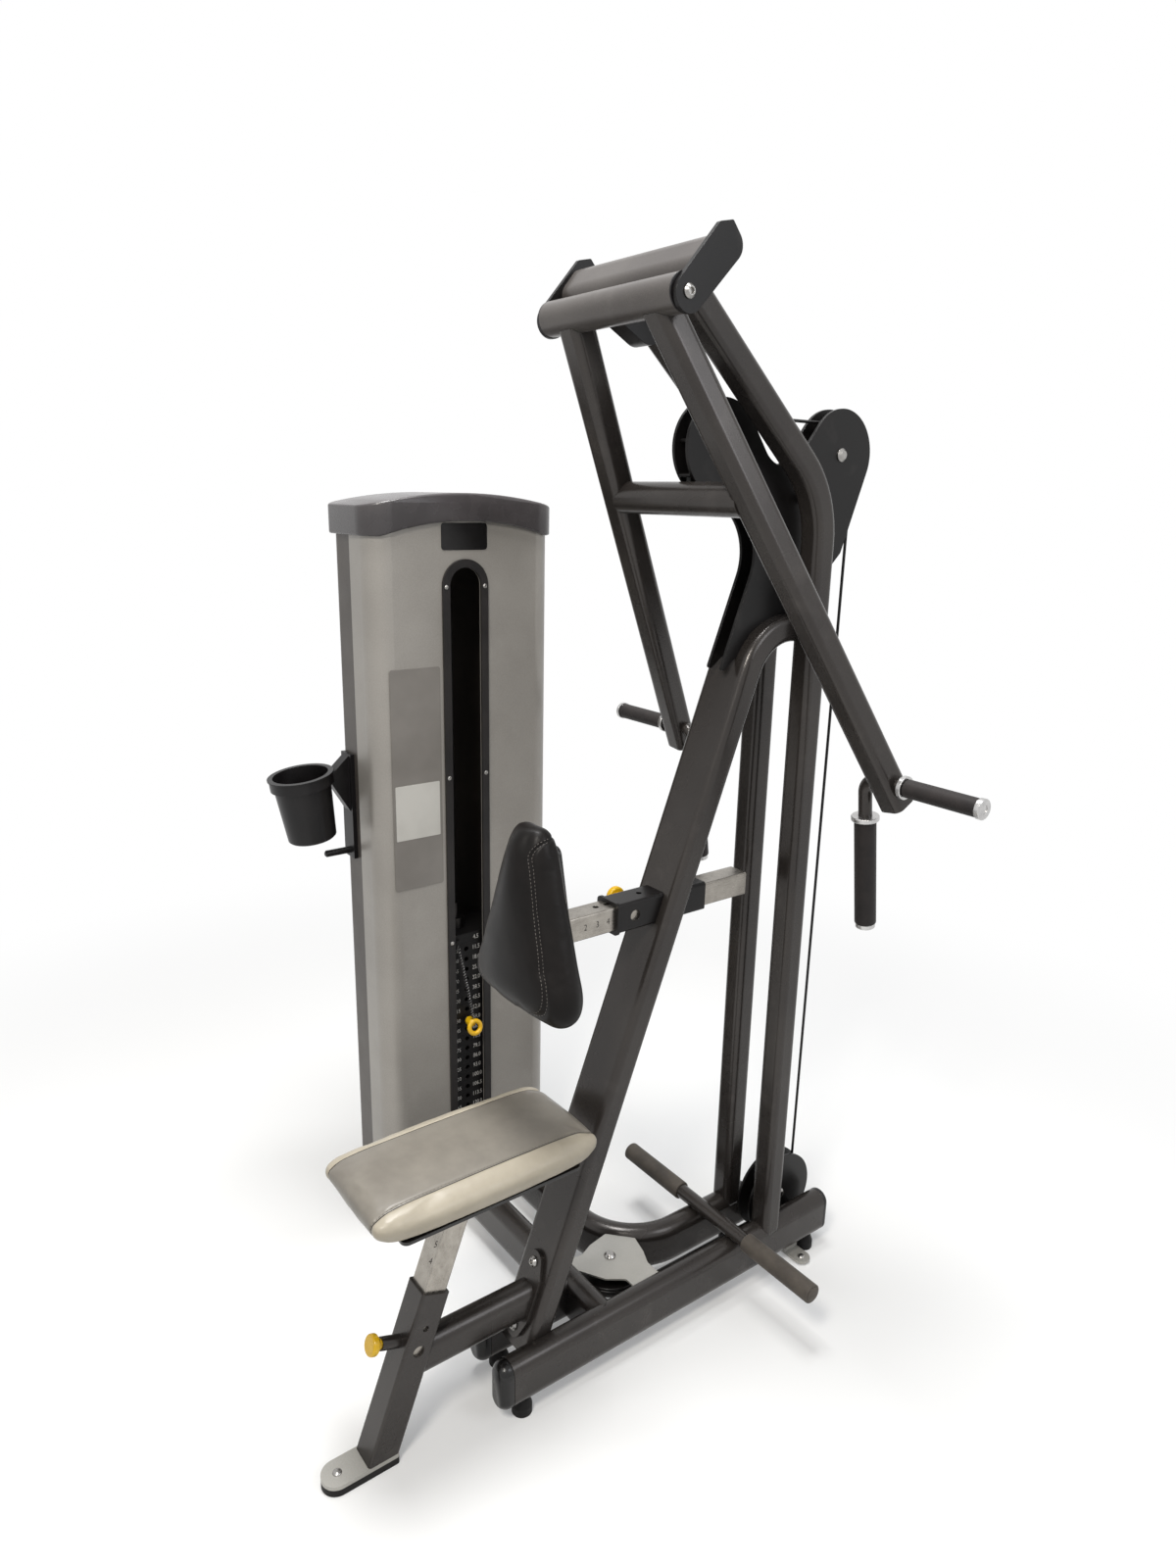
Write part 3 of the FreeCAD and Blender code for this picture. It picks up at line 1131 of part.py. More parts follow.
def sleeve_corners(low, high, inner, outer):
    edge = S.foam_edge
    return [(inner, low, 0), (outer - edge, low + edge, edge), (outer - edge, high - edge, edge), (inner, high, 0)]


elbow_points = [(handle_x, 0), (S.inner_grip_x, 0), (S.inner_grip_x, -S.inner_grip_start - S.inner_grip_length)]
GRIP = [*PIVOT, at(0, 0, -handle_drop), turn(1, 0, 0, -S.inner_grip_lean)]
elbow = body("elbow_bar")
elbow_profile = draw(elbow, "YZ", handle_x)
ring(elbow_profile, 0, 0, S.handle_bar_radius)
elbow_spine = draw(elbow, "XZ", 0)
route(elbow_spine, elbow_points, [S.elbow_radius])
sweep(elbow, elbow_profile, elbow_spine)
place(elbow, *GRIP)
handle_bars = fuse("handle_bars_raw", handle_round, elbow)
handle_right = cut("handle_bars_right", handle_bars, arm_bar_right)
node(group("handle_bars", handle_right, flipped("handle_bars_left", handle_right)))
foam_in = S.handle_bar_radius + S.foam_fit
outer_grip = turned("outer_grip", sleeve_corners(grip_start, grip_end, foam_in, S.handle_grip_radius),
                    *HANDLE, TO_RIGHT)
collar = turned("handle_collar", ring_corners(collar_start, grip_start, foam_in, S.grip_ring_radius),
                *HANDLE, TO_RIGHT)
end_ring = turned("handle_end_ring",
                  [(0, grip_end + S.grip_ring_thickness / 2, 0), (foam_in, grip_end + S.grip_ring_thickness / 2, 0),
                   (foam_in, grip_end, 0), (S.end_ring_radius, grip_end, 0),
                   (S.end_ring_radius, end_z - S.ring_edge, 0), (S.end_ring_radius - S.ring_edge, end_z, 0),
                   (S.end_ring_radius * S.socket_share, end_z, 0),
                   (S.end_ring_radius * S.socket_share, end_z - S.ring_edge, 0), (0, end_z - S.ring_edge, 0)],
                  *HANDLE, TO_RIGHT)
DROP = [*GRIP, at(S.inner_grip_x, 0, 0), TO_FLOOR]
inner_start = S.inner_grip_start + S.grip_ring_thickness
inner_end = S.inner_grip_start + S.inner_grip_length
inner_grip = turned("inner_grip", sleeve_corners(inner_start, inner_end, foam_in, S.foot_grip_radius), *DROP)
node(group("hand_grips", outer_grip, flipped("outer_grip_left", outer_grip),
           inner_grip, flipped("inner_grip_left", inner_grip)))
drop_ring = turned("inner_ring", ring_corners(S.inner_grip_start, inner_start, foam_in, S.inner_ring_radius), *DROP)
drop_cap_end = inner_end + S.grip_ring_thickness
drop_cap = turned("inner_cap", [(0, inner_end, 0), (S.end_ring_radius, inner_end, 0),
                                (S.end_ring_radius, drop_cap_end - S.ring_edge, 0),
                                (S.end_ring_radius - S.ring_edge, drop_cap_end, 0), (0, drop_cap_end, 0)], *DROP)
rings = [collar, end_ring, drop_ring, drop_cap]
node(group("handle_rings", *rings, *[flipped(f"{piece.Name}_left", piece) for piece in rings]))

# Pulley plates between the uprights


def plate_outline(sketch):
    belt(sketch, [(S.plate_toe_y + S.plate_corner, S.plate_toe_z, S.plate_corner),
                  (incline_top_y, S.incline_top_z - S.tube_side / 4, 0),
                  (S.upright_y - S.tube_side / 2, S.incline_top_z, 0),
                  (S.plate_back_y, S.plate_back_z, S.plate_corner),
                  (S.rear_axle_y, S.upper_axle_z, S.lobe_radius),
                  (S.dip_y, S.dip_z + S.dip_radius, -S.dip_radius),
                  (S.front_axle_y, S.upper_axle_z, S.lobe_radius),
                  (S.waist_y - S.waist_radius, S.waist_z, -S.waist_radius)])
    ring(sketch, S.front_axle_y, S.upper_axle_z, S.axle_radius + S.axle_fit)
    ring(sketch, S.rear_axle_y, S.upper_axle_z, S.axle_radius + S.axle_fit)


plate_bar = prism("plate_bar", "YZ", S.plate_x, S.plate_thickness, plate_outline)
plate_right = cut("pulley_plate_right", plate_bar, incline_bar)
plate_left = flipped("pulley_plate_left", plate_right)

# Tie tubes hold the plates apart, and to the uprights
plate_out = S.plate_x + S.plate_thickness
ties = []
for number, (y, z) in enumerate([(S.upright_y, S.tie_high_z), (S.upright_y, S.tie_low_z)]):
    ties.append(rod(f"tie_inner_{number}", S.tie_radius, 2 * S.plate_x, at(-S.plate_x, y, z), TO_RIGHT))
    outer = rod(f"tie_outer_{number}", S.tie_radius, S.rail_x - S.tube_side / 2 - plate_out, at(plate_out, y, z), TO_RIGHT)
    ties.append(outer)
    ties.append(flipped(f"tie_outer_left_{number}", outer))
for number, (y, z) in enumerate([(S.waist_tie_y, S.waist_tie_high_z), (S.waist_tie_y, S.waist_tie_low_z)]):
    ties.append(rod(f"tie_waist_{number}", S.tie_radius, 2 * S.plate_x, at(-S.plate_x, y, z), TO_RIGHT))
for number, (y, z) in enumerate([(S.front_axle_y - S.keeper_reach, S.upper_axle_z + S.keeper_rise),
                                 (S.front_axle_y - S.keeper_reach, S.upper_axle_z - S.keeper_drop),
                                 (S.rear_axle_y + S.keeper_reach, S.upper_axle_z)]):
    ties.append(rod(f"keeper_{number}", S.keeper_radius, 2 * S.plate_x, at(-S.plate_x, y, z), TO_RIGHT))
node(group("pulley_plates", plate_right, plate_left))
node(group("pulley_ties", *ties))

# Pulleys: grooved wheels on bolted axles
groove_floor = S.pulley_pitch - S.cable_radius - S.cable_fit


def wheel(label, *steps):
    half = S.pulley_width / 2
    hub = S.axle_radius + S.axle_fit
    boss = S.hub_radius
    web = half * S.web_share
    rim = groove_floor - S.rim_depth
    lip = half * S.lip_share
    return turned(label, [(hub, -half, 0), (boss, -half, 0), (boss, -web, 0), (rim, -web, 0), (rim, -half, 0),
                          (S.pulley_rim - S.ring_edge, -half, 0), (S.pulley_rim, -half + S.ring_edge, 0),
                          (S.pulley_rim, -lip, 0), (groove_floor, -S.groove_half, 0),
                          (groove_floor, S.groove_half, 0), (S.pulley_rim, lip, 0),
                          (S.pulley_rim, half - S.ring_edge, 0), (S.pulley_rim - S.ring_edge, half, 0), (rim, half, 0), (rim, web, 0),
                          (boss, web, 0), (boss, half, 0), (hub, half, 0)], *steps)


FRONT_WHEEL = [at(0, S.front_axle_y, S.upper_axle_z), TO_RIGHT]
REAR_WHEEL = [at(0, S.rear_axle_y, S.upper_axle_z), TO_RIGHT]
BASE_WHEEL = [at(0, S.base_axle_y, S.base_axle_z), TO_RIGHT]
floor_z = S.base_axle_z - S.pulley_pitch
floor_axle_x = -S.pulley_pitch
FLOOR_WHEEL = [at(floor_axle_x, S.floor_axle_y, floor_z)]
tower_cable_y = S.floor_axle_y - S.pulley_pitch
wheel_span = 2 * S.pulley_pitch
side_step = tower_cable_y - S.stack_y
riser_x = S.stack_x + root(wheel_span * wheel_span - side_step * side_step)
tower_axle_x = S.pulley_pitch - riser_x
TOWER_WHEEL = [at(tower_axle_x, tower_cable_y, S.base_axle_z), TO_FRONT]
top_mid_x = -(riser_x + S.stack_x) / 2
top_mid_y = (tower_cable_y + S.stack_y) / 2
top_angle = slope(side_step, S.stack_x - riser_x)
TOP_WHEEL = [at(top_mid_x, top_mid_y, S.top_axle_z), turn(0, 0, 1, top_angle), TO_FRONT]
node(wheel("pulley_front", *FRONT_WHEEL))
node(wheel("pulley_rear", *REAR_WHEEL))
node(wheel("pulley_base", *BASE_WHEEL))
node(wheel("pulley_floor", *FLOOR_WHEEL))
node(wheel("pulley_tower_low", *TOWER_WHEEL))
node(wheel("pulley_tower_top", *TOP_WHEEL))


def axle_bolt(label, reach, tail, *steps):
    head = S.axle_head_radius
    return turned(label, [(0, -tail, 0), (S.axle_radius, -tail, 0), (S.axle_radius, reach, 0),
                          (head, reach, 0), (head, reach + S.axle_head_height * S.dome_rim_share, 0),
                          (head * S.dome_shoulder_share, reach + S.axle_head_height, 0),
                          (0, reach + S.axle_head_height, 0)], *steps)


def nut(label, reach, *steps):
    head = S.axle_head_radius
    return prism(label, "XY", -reach - S.axle_head_height, S.axle_head_height,
                 lambda sketch: ring(sketch, 0, 0, head), *steps)


for label, steps in (("front", FRONT_WHEEL), ("rear", REAR_WHEEL)):
    BOLTS.append(axle_bolt(f"axle_{label}", plate_out, plate_out, *steps))
    BOLTS.append(nut(f"nut_{label}", plate_out, *steps))

# Guard discs round the base pulley, carried between the rails


def guard_outline(sketch):
    ring(sketch, S.base_axle_y, S.base_axle_z, S.guard_radius)
    ring(sketch, S.base_axle_y, S.base_axle_z, S.axle_radius + S.axle_fit)


guard_right = prism("guard_disc_right", "YZ", S.plate_x, S.guard_thickness, guard_outline)
guard_left = flipped("guard_disc_left", guard_right)
guard_out = S.plate_x + S.guard_thickness
BRACKETS = [guard_right, guard_left]
for number, shift in enumerate((S.guard_spread, -S.guard_spread)):
    stay = rod(f"stay_{number}", S.tie_radius, S.rail_x - S.rail_width / 2 - guard_out,
               at(guard_out, S.base_axle_y + shift, rail_mid_z), TO_RIGHT)
    BRACKETS += [stay, flipped(f"stay_left_{number}", stay)]
base_axle = axle_bolt("axle_base", guard_out, guard_out, *BASE_WHEEL)
base_nut = nut("nut_base", guard_out, *BASE_WHEEL)

# Cover plate and its pulley between the base tubes
cover_z = rail_top_z - S.cover_drop


def cover_outline(sketch):
    rail_side = S.rail_x - S.rail_width / 2 + S.cover_overlap
    cross_side = S.cross_y + S.rail_width / 2 - S.cover_overlap
    scallop = S.cover_scallop
    belt(sketch, [(rail_side, S.cover_near_y, 0),
                  (rail_side, S.cover_far_y, 0),
                  (S.cover_far_scallop_x, S.cover_far_y + scallop, -scallop),
                  (floor_axle_x + S.cover_shoulder_right, S.floor_axle_y + S.cover_shoulder_rise, S.cover_shoulder),
                  (floor_axle_x - S.cover_lip_right, S.floor_axle_y + S.cover_lip_rear, 0),
                  (floor_axle_x - S.cover_lip_left, S.floor_axle_y + S.cover_lip_front, 0),
                  (floor_axle_x - S.cover_lobe_left, S.floor_axle_y - S.cover_lobe_drop, S.cover_lobe),
                  (floor_axle_x - S.cover_left_scallop_x, S.floor_axle_y - S.cover_left_scallop_y, -scallop),
                  (floor_axle_x - S.cover_ear_left, cross_side, 0),
                  (floor_axle_x - S.cover_ear_right, cross_side, 0),
                  (floor_axle_x + S.cover_belly_right, S.floor_axle_y - S.cover_belly_drop, S.cover_belly),
                  (S.cover_near_scallop_x, S.cover_near_y - scallop, -scallop)])
    ring(sketch, floor_axle_x, S.floor_axle_y, S.axle_radius + S.axle_fit)


cover_plate = prism("cover_blade", "XY", cover_z, S.cover_thickness, cover_outline)
node(cut("cover_plate", cover_plate, curve_bar, right_rail_bar, cross_bar))
floor_reach = cover_z + S.cover_thickness - floor_z
floor_axle = axle_bolt("axle_floor", floor_reach, S.pulley_width, *FLOOR_WHEEL)

# Cable: one length from the crossbar over six wheels to the weight stack
crossbar_y = S.pivot_y + S.crossbar_drop * sine(S.arm_tilt)
crossbar_z = S.pivot_z - S.crossbar_drop * cosine(S.arm_tilt)
pitch = float(S.pulley_pitch)
front_y, rear_y, upper_z = float(S.front_axle_y), float(S.rear_axle_y), float(S.upper_axle_z)
base_y, base_z, low_z = float(S.base_axle_y), float(S.base_axle_z), float(floor_z)
turn_x, turn_y = float(floor_axle_x), float(S.floor_axle_y)
tower_x, tower_y = float(tower_axle_x), float(tower_cable_y)
rise_x = -float(riser_x)
anchor_top_z = float(crossbar_z) + float(S.crossbar_radius) + float(S.anchor_height)
CORNER = math.sqrt(0.5)


def straight(a, b):
    return Part.LineSegment(a, b).toShape()


def bend(a, middle, b):
    return Part.Arc(a, middle, b).toShape()


def tube_along(path, radius):
    edges = path.OrderedEdges
    start = edges[0].valueAt(edges[0].FirstParameter)
    heading = edges[0].tangentAt(edges[0].FirstParameter)
    profile = Part.Wire([Part.Circle(start, heading, radius).toShape()])
    return path.makePipeShell([profile], True, False)


lean_back = math.asin((rear_y - base_y) / math.hypot(rear_y - base_y, upper_z - base_z))
down_out = Vec(0, math.cos(lean_back), -math.sin(lean_back))
rear_leave = Vec(0, rear_y, upper_z) + down_out * pitch
base_meet = Vec(0, base_y, base_z) + down_out * pitch
rear_mid_angle = (math.pi / 2 - lean_back) / 2
rear_mid = Vec(0, rear_y + pitch * math.cos(rear_mid_angle), upper_z + pitch * math.sin(rear_mid_angle))
base_mid_angle = (math.pi / 2 - lean_back) / 2 + lean_back
base_mid = Vec(0, base_y + pitch * math.cos(base_mid_angle), base_z - pitch * math.sin(base_mid_angle))
top_z = float(S.top_axle_z)
stack_x, stack_y = -float(S.stack_x), float(S.stack_y)
mid_x, mid_y = float(top_mid_x), float(top_mid_y)
long_run = Part.Wire([
    straight(Vec(0, front_y - pitch, anchor_top_z), Vec(0, front_y - pitch, upper_z)),
    bend(Vec(0, front_y - pitch, upper_z), Vec(0, front_y - pitch * CORNER, upper_z + pitch * CORNER),
         Vec(0, front_y, upper_z + pitch)),
    straight(Vec(0, front_y, upper_z + pitch), Vec(0, rear_y, upper_z + pitch)),
    bend(Vec(0, rear_y, upper_z + pitch), rear_mid, rear_leave),
    straight(rear_leave, base_meet),
    bend(base_meet, base_mid, Vec(0, base_y, low_z)),
    straight(Vec(0, base_y, low_z), Vec(0, turn_y, low_z)),
    bend(Vec(0, turn_y, low_z), Vec(turn_x + pitch * CORNER, turn_y - pitch * CORNER, low_z),
         Vec(turn_x, tower_y, low_z)),
    straight(Vec(turn_x, tower_y, low_z), Vec(tower_x, tower_y, low_z)),
    bend(Vec(tower_x, tower_y, low_z), Vec(tower_x - pitch * CORNER, tower_y, base_z - pitch * CORNER),
         Vec(rise_x, tower_y, base_z)),
    straight(Vec(rise_x, tower_y, base_z), Vec(rise_x, tower_y, top_z)),
    bend(Vec(rise_x, tower_y, top_z), Vec(mid_x, mid_y, top_z + pitch), Vec(stack_x, stack_y, top_z)),
])
cable = doc.addObject("Part::Feature", "cable")
cable.Label = "cable"
cable.Shape = tube_along(long_run, float(S.cable_radius))
node(cable)

# The stretch from the top wheel down to the stack changes length as the stack rises
stack_top_z = S.stack_low_z + S.plate_pitch * S.plate_count
stem_top_z = stack_top_z + S.stem_rise
node(rod("lift_cable", S.cable_radius, S.top_axle_z - stem_top_z, at(-S.stack_x, S.stack_y, stem_top_z)))

# Anchor ear on the crossbar
anchor_y = S.front_axle_y - S.pulley_pitch - crossbar_y
anchor_round = rod("anchor_round", S.anchor_radius, S.crossbar_radius + S.anchor_height,
                   at(0, S.front_axle_y - S.pulley_pitch, crossbar_z))
node(group("arm_lugs", stop_lug, cut("cable_anchor", anchor_round, crossbar_round)))

# Tower
half_width = S.tower_width / 2


def front_shell(sketch, inset=0):
    corner = S.tower_corner - inset
    front = -S.tower_front_x - inset
    seam = -S.tower_seam_x
    belt(sketch, [(seam, S.tower_y - half_width + inset, 0),
                  (front - corner, S.tower_y - half_width + inset + corner, corner),
                  (front - corner, S.tower_y + half_width - inset - corner, corner),
                  (seam, S.tower_y + half_width - inset, 0)])


def back_shell(sketch, inset=0):
    corner = S.tower_back_corner - inset
    back = -S.tower_back_x + inset
    side = half_width - S.seam_inset - inset
    belt(sketch, [(-S.tower_seam_x, S.tower_y + side, 0),
                  (back + corner, S.tower_y + side - corner, corner),
                  (back + corner, S.tower_y - side + corner, corner),
                  (-S.tower_seam_x, S.tower_y - side, 0)])


shell_height = S.tower_shell_top - S.tower_foot_z
front_outer = prism("shell_front_outer", "XY", S.tower_foot_z, shell_height, front_shell)
front_inner = prism("shell_front_inner", "XY", S.tower_foot_z, shell_height, lambda sketch: front_shell(sketch, S.tower_skin))


def window_outline(sketch, grow=0):
    half = S.window_width / 2 + grow
    low = S.window_low_z + S.window_corner
    belt(sketch, [(S.stack_y + half - S.window_corner - grow, low, S.window_corner + grow),
                  (S.stack_y, S.window_top_z - S.window_width / 2, half),
                  (S.stack_y - half + S.window_corner + grow, low, S.window_corner + grow)])


window_block = prism("window_block", "YZ", -S.tower_front_x - S.tower_skin - S.overrun,
                     S.tower_skin + 2 * S.overrun, window_outline)
leg_gap = S.leg_clearance
legs = []
for number, y in enumerate((S.cross_y, S.curve_y)):
    legs.append(box(f"leg_slot_{number}", S.tower_skin + S.tower_corner + 2 * S.overrun, S.rail_width + 2 * leg_gap,
                    rail_top_z + leg_gap - S.tower_foot_z + S.overrun,
                    at(-S.tower_front_x - S.tower_skin - S.tower_corner - S.overrun, y - S.rail_width / 2 - leg_gap,
                       S.tower_foot_z - S.overrun)))
cable_slot = box("cable_slot", S.tower_skin + S.tower_corner + 2 * S.overrun, S.cable_notch,
                 floor_z + S.cable_notch / 2 - S.tower_foot_z + S.overrun,
                 at(-S.tower_front_x - S.tower_skin - S.tower_corner - S.overrun, tower_cable_y - S.cable_notch / 2,
                    S.tower_foot_z - S.overrun))
node(cut("tower_shell", front_outer, front_inner, window_block, cable_slot, *legs))
back_outer = prism("shell_back_outer", "XY", S.tower_foot_z, shell_height, back_shell)
back_inner = prism("shell_back_inner", "XY", S.tower_foot_z, shell_height, lambda sketch: back_shell(sketch, S.tower_skin))
node(cut("tower_back", back_outer, back_inner))


def bezel_outline(sketch):
    window_outline(sketch, S.bezel_width)
    window_outline(sketch)


bezel = prism("bezel_frame", "YZ", -S.tower_front_x, S.bezel_depth, bezel_outline)
screw_shank = S.screw_head * S.socket_share
screw_holes = []
for number, z in enumerate((S.screw_high_z, S.screw_mid_z, S.screw_low_z)):
    for side in (1, -1):
        spot = at(-S.tower_front_x, S.stack_y + side * (S.window_width + S.bezel_width) / 2, z)
        BOLTS.append(dome_bolt(f"bezel_screw_{number}_{side + 1}", S.screw_head, screw_shank, screw_shank,
                               S.bezel_depth, spot, at(S.bezel_depth, 0, 0), TO_RIGHT))
        screw_holes.append(rod(f"screw_hole_{number}_{side + 1}", screw_shank + S.bolt_fit, S.bezel_depth,
                               spot, TO_RIGHT))
node(cut("window_bezel", bezel, *screw_holes))

# Moulded cap: overhangs the shell, its lower edge arches and its top is crowned
cap_half = half_width + S.cap_lip


def cap_plan(sketch, inset=0):
    corner = S.tower_corner + S.cap_lip - inset
    back_corner = S.tower_back_corner + S.cap_lip - inset
    front = -S.tower_front_x + S.cap_lip - inset
    back = -S.tower_back_x - S.cap_lip + inset
    half = cap_half - inset
    belt(sketch, [(back + back_corner, S.tower_y - half + back_corner, back_corner),
                  (front - corner, S.tower_y - half + corner, corner),
                  (front - corner, S.tower_y + half - corner, corner),
                  (back + back_corner, S.tower_y + half - back_corner, back_corner)])


cap_top_z = S.cap_high_z + S.cap_crown_rise
cap_block = prism("cap_block", "XY", S.cap_low_z, cap_top_z - S.cap_low_z, cap_plan)
cap_hollow = prism("cap_hollow", "XY", S.cap_low_z - S.overrun, S.tower_shell_top - S.cap_low_z + S.overrun,
                   lambda sketch: cap_plan(sketch, S.cap_lip - S.cap_fit))
crown_radius = (cap_half * cap_half + S.cap_crown_rise * S.cap_crown_rise) / (2 * S.cap_crown_rise)
cap_depth = S.tower_back_x - S.tower_front_x + 4 * S.cap_lip
crown_round = rod("crown_round", crown_radius, cap_depth,
                  at(-S.tower_back_x - 2 * S.cap_lip, S.tower_y, cap_top_z - crown_radius), TO_RIGHT)
arch_half = half_width - S.arch_setback
arch_radius = (arch_half * arch_half + S.cap_arch * S.cap_arch) / (2 * S.cap_arch)
arch_round = rod("arch_round", arch_radius, cap_depth,
                 at(-S.tower_back_x - 2 * S.cap_lip, S.tower_y, S.cap_low_z + S.cap_arch - arch_radius), TO_RIGHT)
cap_common = doc.addObject("Part::Common", "cap_crowned")
cap_common.Base = cap_block
cap_common.Tool = crown_round
cap_cut = cut("cap_hollowed", cap_common, cap_hollow, arch_round)
cap = doc.addObject("Part::Fillet", "tower_cap")
cap.Base = cap_cut
cap.Label = "tower_cap"
doc.recompute()
crown_edges = []
for index, edge in enumerate(cap_cut.Shape.Edges, start=1):
    middle = edge.valueAt((edge.FirstParameter + edge.LastParameter) / 2)
    if middle.z > float(S.tower_shell_top) + float(S.cap_lip) and edge.Length > float(S.cap_lip):
        flat_ends = abs(edge.Vertexes[0].Z - edge.Vertexes[-1].Z) < float(S.cap_crown_rise)
        if flat_ends:
            crown_edges.append((index, float(S.cap_edge), float(S.cap_edge)))
cap.Edges = crown_edges
node(cap)

# Weight stack


def stack_outline(sketch):
    rounded(sketch, -S.stack_x, S.stack_y, S.plate_depth, S.plate_span, S.plate_edge)
    ring(sketch, -S.stack_x, S.stack_y, S.stem_radius + S.stem_fit)
    ring(sketch, -S.stack_x, S.stack_y + S.rod_spread, S.rod_radius + S.rod_fit)
    ring(sketch, -S.stack_x, S.stack_y - S.rod_spread, S.rod_radius + S.rod_fit)


def weight_plates(label, first, count):
    made = body(label)
    made.AllowCompound = True
    low = S.stack_low_z + S.plate_pitch * first
    section = draw(made, "XY", low)
    stack_outline(section)
    slab = pad(made, section, S.plate_height)
    doc.recompute()
    face = draw(made, "YZ", -S.stack_x)
    ring(face, S.stack_y, low + S.plate_height / 2, S.pin_hole_radius)
    hole = made.newObject("PartDesign::Pocket", f"{label}_pin_hole")
    hole.Profile = face
    bind(hole, "Length", S.plate_depth)
    hole.Reversed = True
    if count > 1:
        pattern = made.newObject("PartDesign::LinearPattern", f"{label}_pile")
        pattern.Originals = [slab, hole]
        pattern.Direction = (section, ["N_Axis"])
        bind(pattern, "Length", S.plate_pitch * (count - 1))
        pattern.Occurrences = count
        made.Tip = pattern
    return made


node(weight_plates("stack_lower", 0, int(S.plate_count) - int(S.lifted_count)))
node(weight_plates("stack_lifted", int(S.plate_count) - int(S.lifted_count), int(S.lifted_count) - 1))
top_low_z = S.stack_low_z + S.plate_pitch * (S.plate_count - 1)
top_plate = prism("stack_top_slab", "XY", top_low_z, S.plate_height, stack_outline)
rods = []
rod_low_z = rail_top_z + S.base_plate_thickness
rod_height = S.rod_top_z - rod_low_z
for side in (1, -1):
    rods.append(rod(f"guide_rod_{side + 1}", S.rod_radius, rod_height, at(-S.stack_x, S.stack_y + side * S.rod_spread, rod_low_z)))
for side in (1, -1):
    RUBBER.append(turned(f"bumper_{side + 1}", [(S.rod_radius + S.axle_fit, 0, 0), (S.bumper_radius, 0, 0),
                                                 (S.bumper_radius - S.foam_edge, S.stack_low_z - rod_low_z, 0),
                                                 (S.rod_radius + S.axle_fit, S.stack_low_z - rod_low_z, 0)],
                          at(-S.stack_x, S.stack_y + side * S.rod_spread, rod_low_z)))
node(group("rubber_pads", *RUBBER))

# Stem: hangs from the cable and passes down through every plate
stem_low_z = S.stack_low_z + S.overrun
stem_body = turned("stem_turned", [(0, stem_low_z, 0), (S.stem_radius, stem_low_z, 0),
                                   (S.stem_radius, stack_top_z, 0), (S.stem_collar, stack_top_z, 0),
                                   (S.stem_collar, stack_top_z + S.collar_height, 0),
                                   (S.stem_neck, stack_top_z + S.collar_height, 0), (S.stem_neck, stem_top_z, 0),
                                   (0, stem_top_z, 0)], at(-S.stack_x, S.stack_y, 0))
pin_z = S.stack_low_z + S.plate_pitch * (S.plate_count - S.lifted_count) + S.plate_height / 2
stem_hole = rod("stem_pin_hole", S.pin_hole_radius, 2 * S.stem_radius, at(-S.stack_x - S.stem_radius, S.stack_y, pin_z), TO_RIGHT)
node(cut("stack_stem", stem_body, stem_hole))
pin_run = S.plate_depth / 2 + S.pin_shank
node(turned("selector_pin", [(0, 0, 0), (S.pin_radius, 0, 0), (S.pin_radius, pin_run, 0),
                             (S.pin_knob_radius / 2, pin_run, 0), (S.pin_knob_radius / 2, pin_run + S.foam_edge, 0),
                             (S.pin_knob_radius, pin_run + 2 * S.foam_edge, 0),
                             (S.pin_knob_radius, pin_run + S.pin_knob_height - S.foam_edge, 0),
                             (S.pin_knob_radius - S.foam_edge, pin_run + S.pin_knob_height, 0),
                             (0, pin_run + S.pin_knob_height, 0)], at(-S.stack_x, S.stack_y, pin_z), TO_RIGHT))

# Tower frame: base plate on the tubes, top plate that holds the rods and the top wheel


def base_outline(sketch):
    margin = S.seam_inset + S.tower_skin
    rounded(sketch, -S.base_plate_x, S.tower_y, S.base_plate_depth, S.tower_width - 2 * margin,
            S.tower_corner - margin)


slot_half = S.pulley_width / 2 + S.cheek_gap + S.guard_thickness + S.axle_head_height + S.bolt_fit + S.cap_edge
wheel_slot = box("wheel_slot", S.base_plate_depth, 2 * slot_half, S.base_plate_thickness + 2 * S.overrun,
                 at(tower_axle_x + S.pulley_rim + S.bolt_radius - S.base_plate_depth, tower_cable_y - slot_half,
                    rail_top_z - S.overrun))
base_plate = cut("tower_base_plate", prism("tower_base_slab", "XY", rail_top_z, S.base_plate_thickness, base_outline), wheel_slot)


def top_outline(sketch):
    base_outline(sketch)
    for side in (1, -1):
        ring(sketch, -S.stack_x, S.stack_y + side * S.rod_spread, S.bolt_radius + S.bolt_fit)


top_plate_z = S.rod_top_z
node(group("tower_frame", base_plate, prism("tower_top_plate", "XY", top_plate_z, S.base_plate_thickness, top_outline), *rods))

# Wheel brackets: two cheeks with their axle bolt


def cheeks(label, reach_low, reach_high, steps):
    made = []
    inner = S.pulley_width / 2 + S.cheek_gap

    def cheek_outline(sketch):
        half = S.cheek_width / 2
        belt(sketch, [(half, -reach_low, 0), (half, reach_high, 0), (-half, reach_high, 0), (-half, -reach_low, 0)])
        ring(sketch, 0, 0, S.axle_radius + S.axle_fit)

    for side in (1, -1):
        start = inner if side > 0 else -inner - S.guard_thickness
        made.append(prism(f"{label}_{side + 1}", "XZ", start, S.guard_thickness, cheek_outline, *steps))
    return made


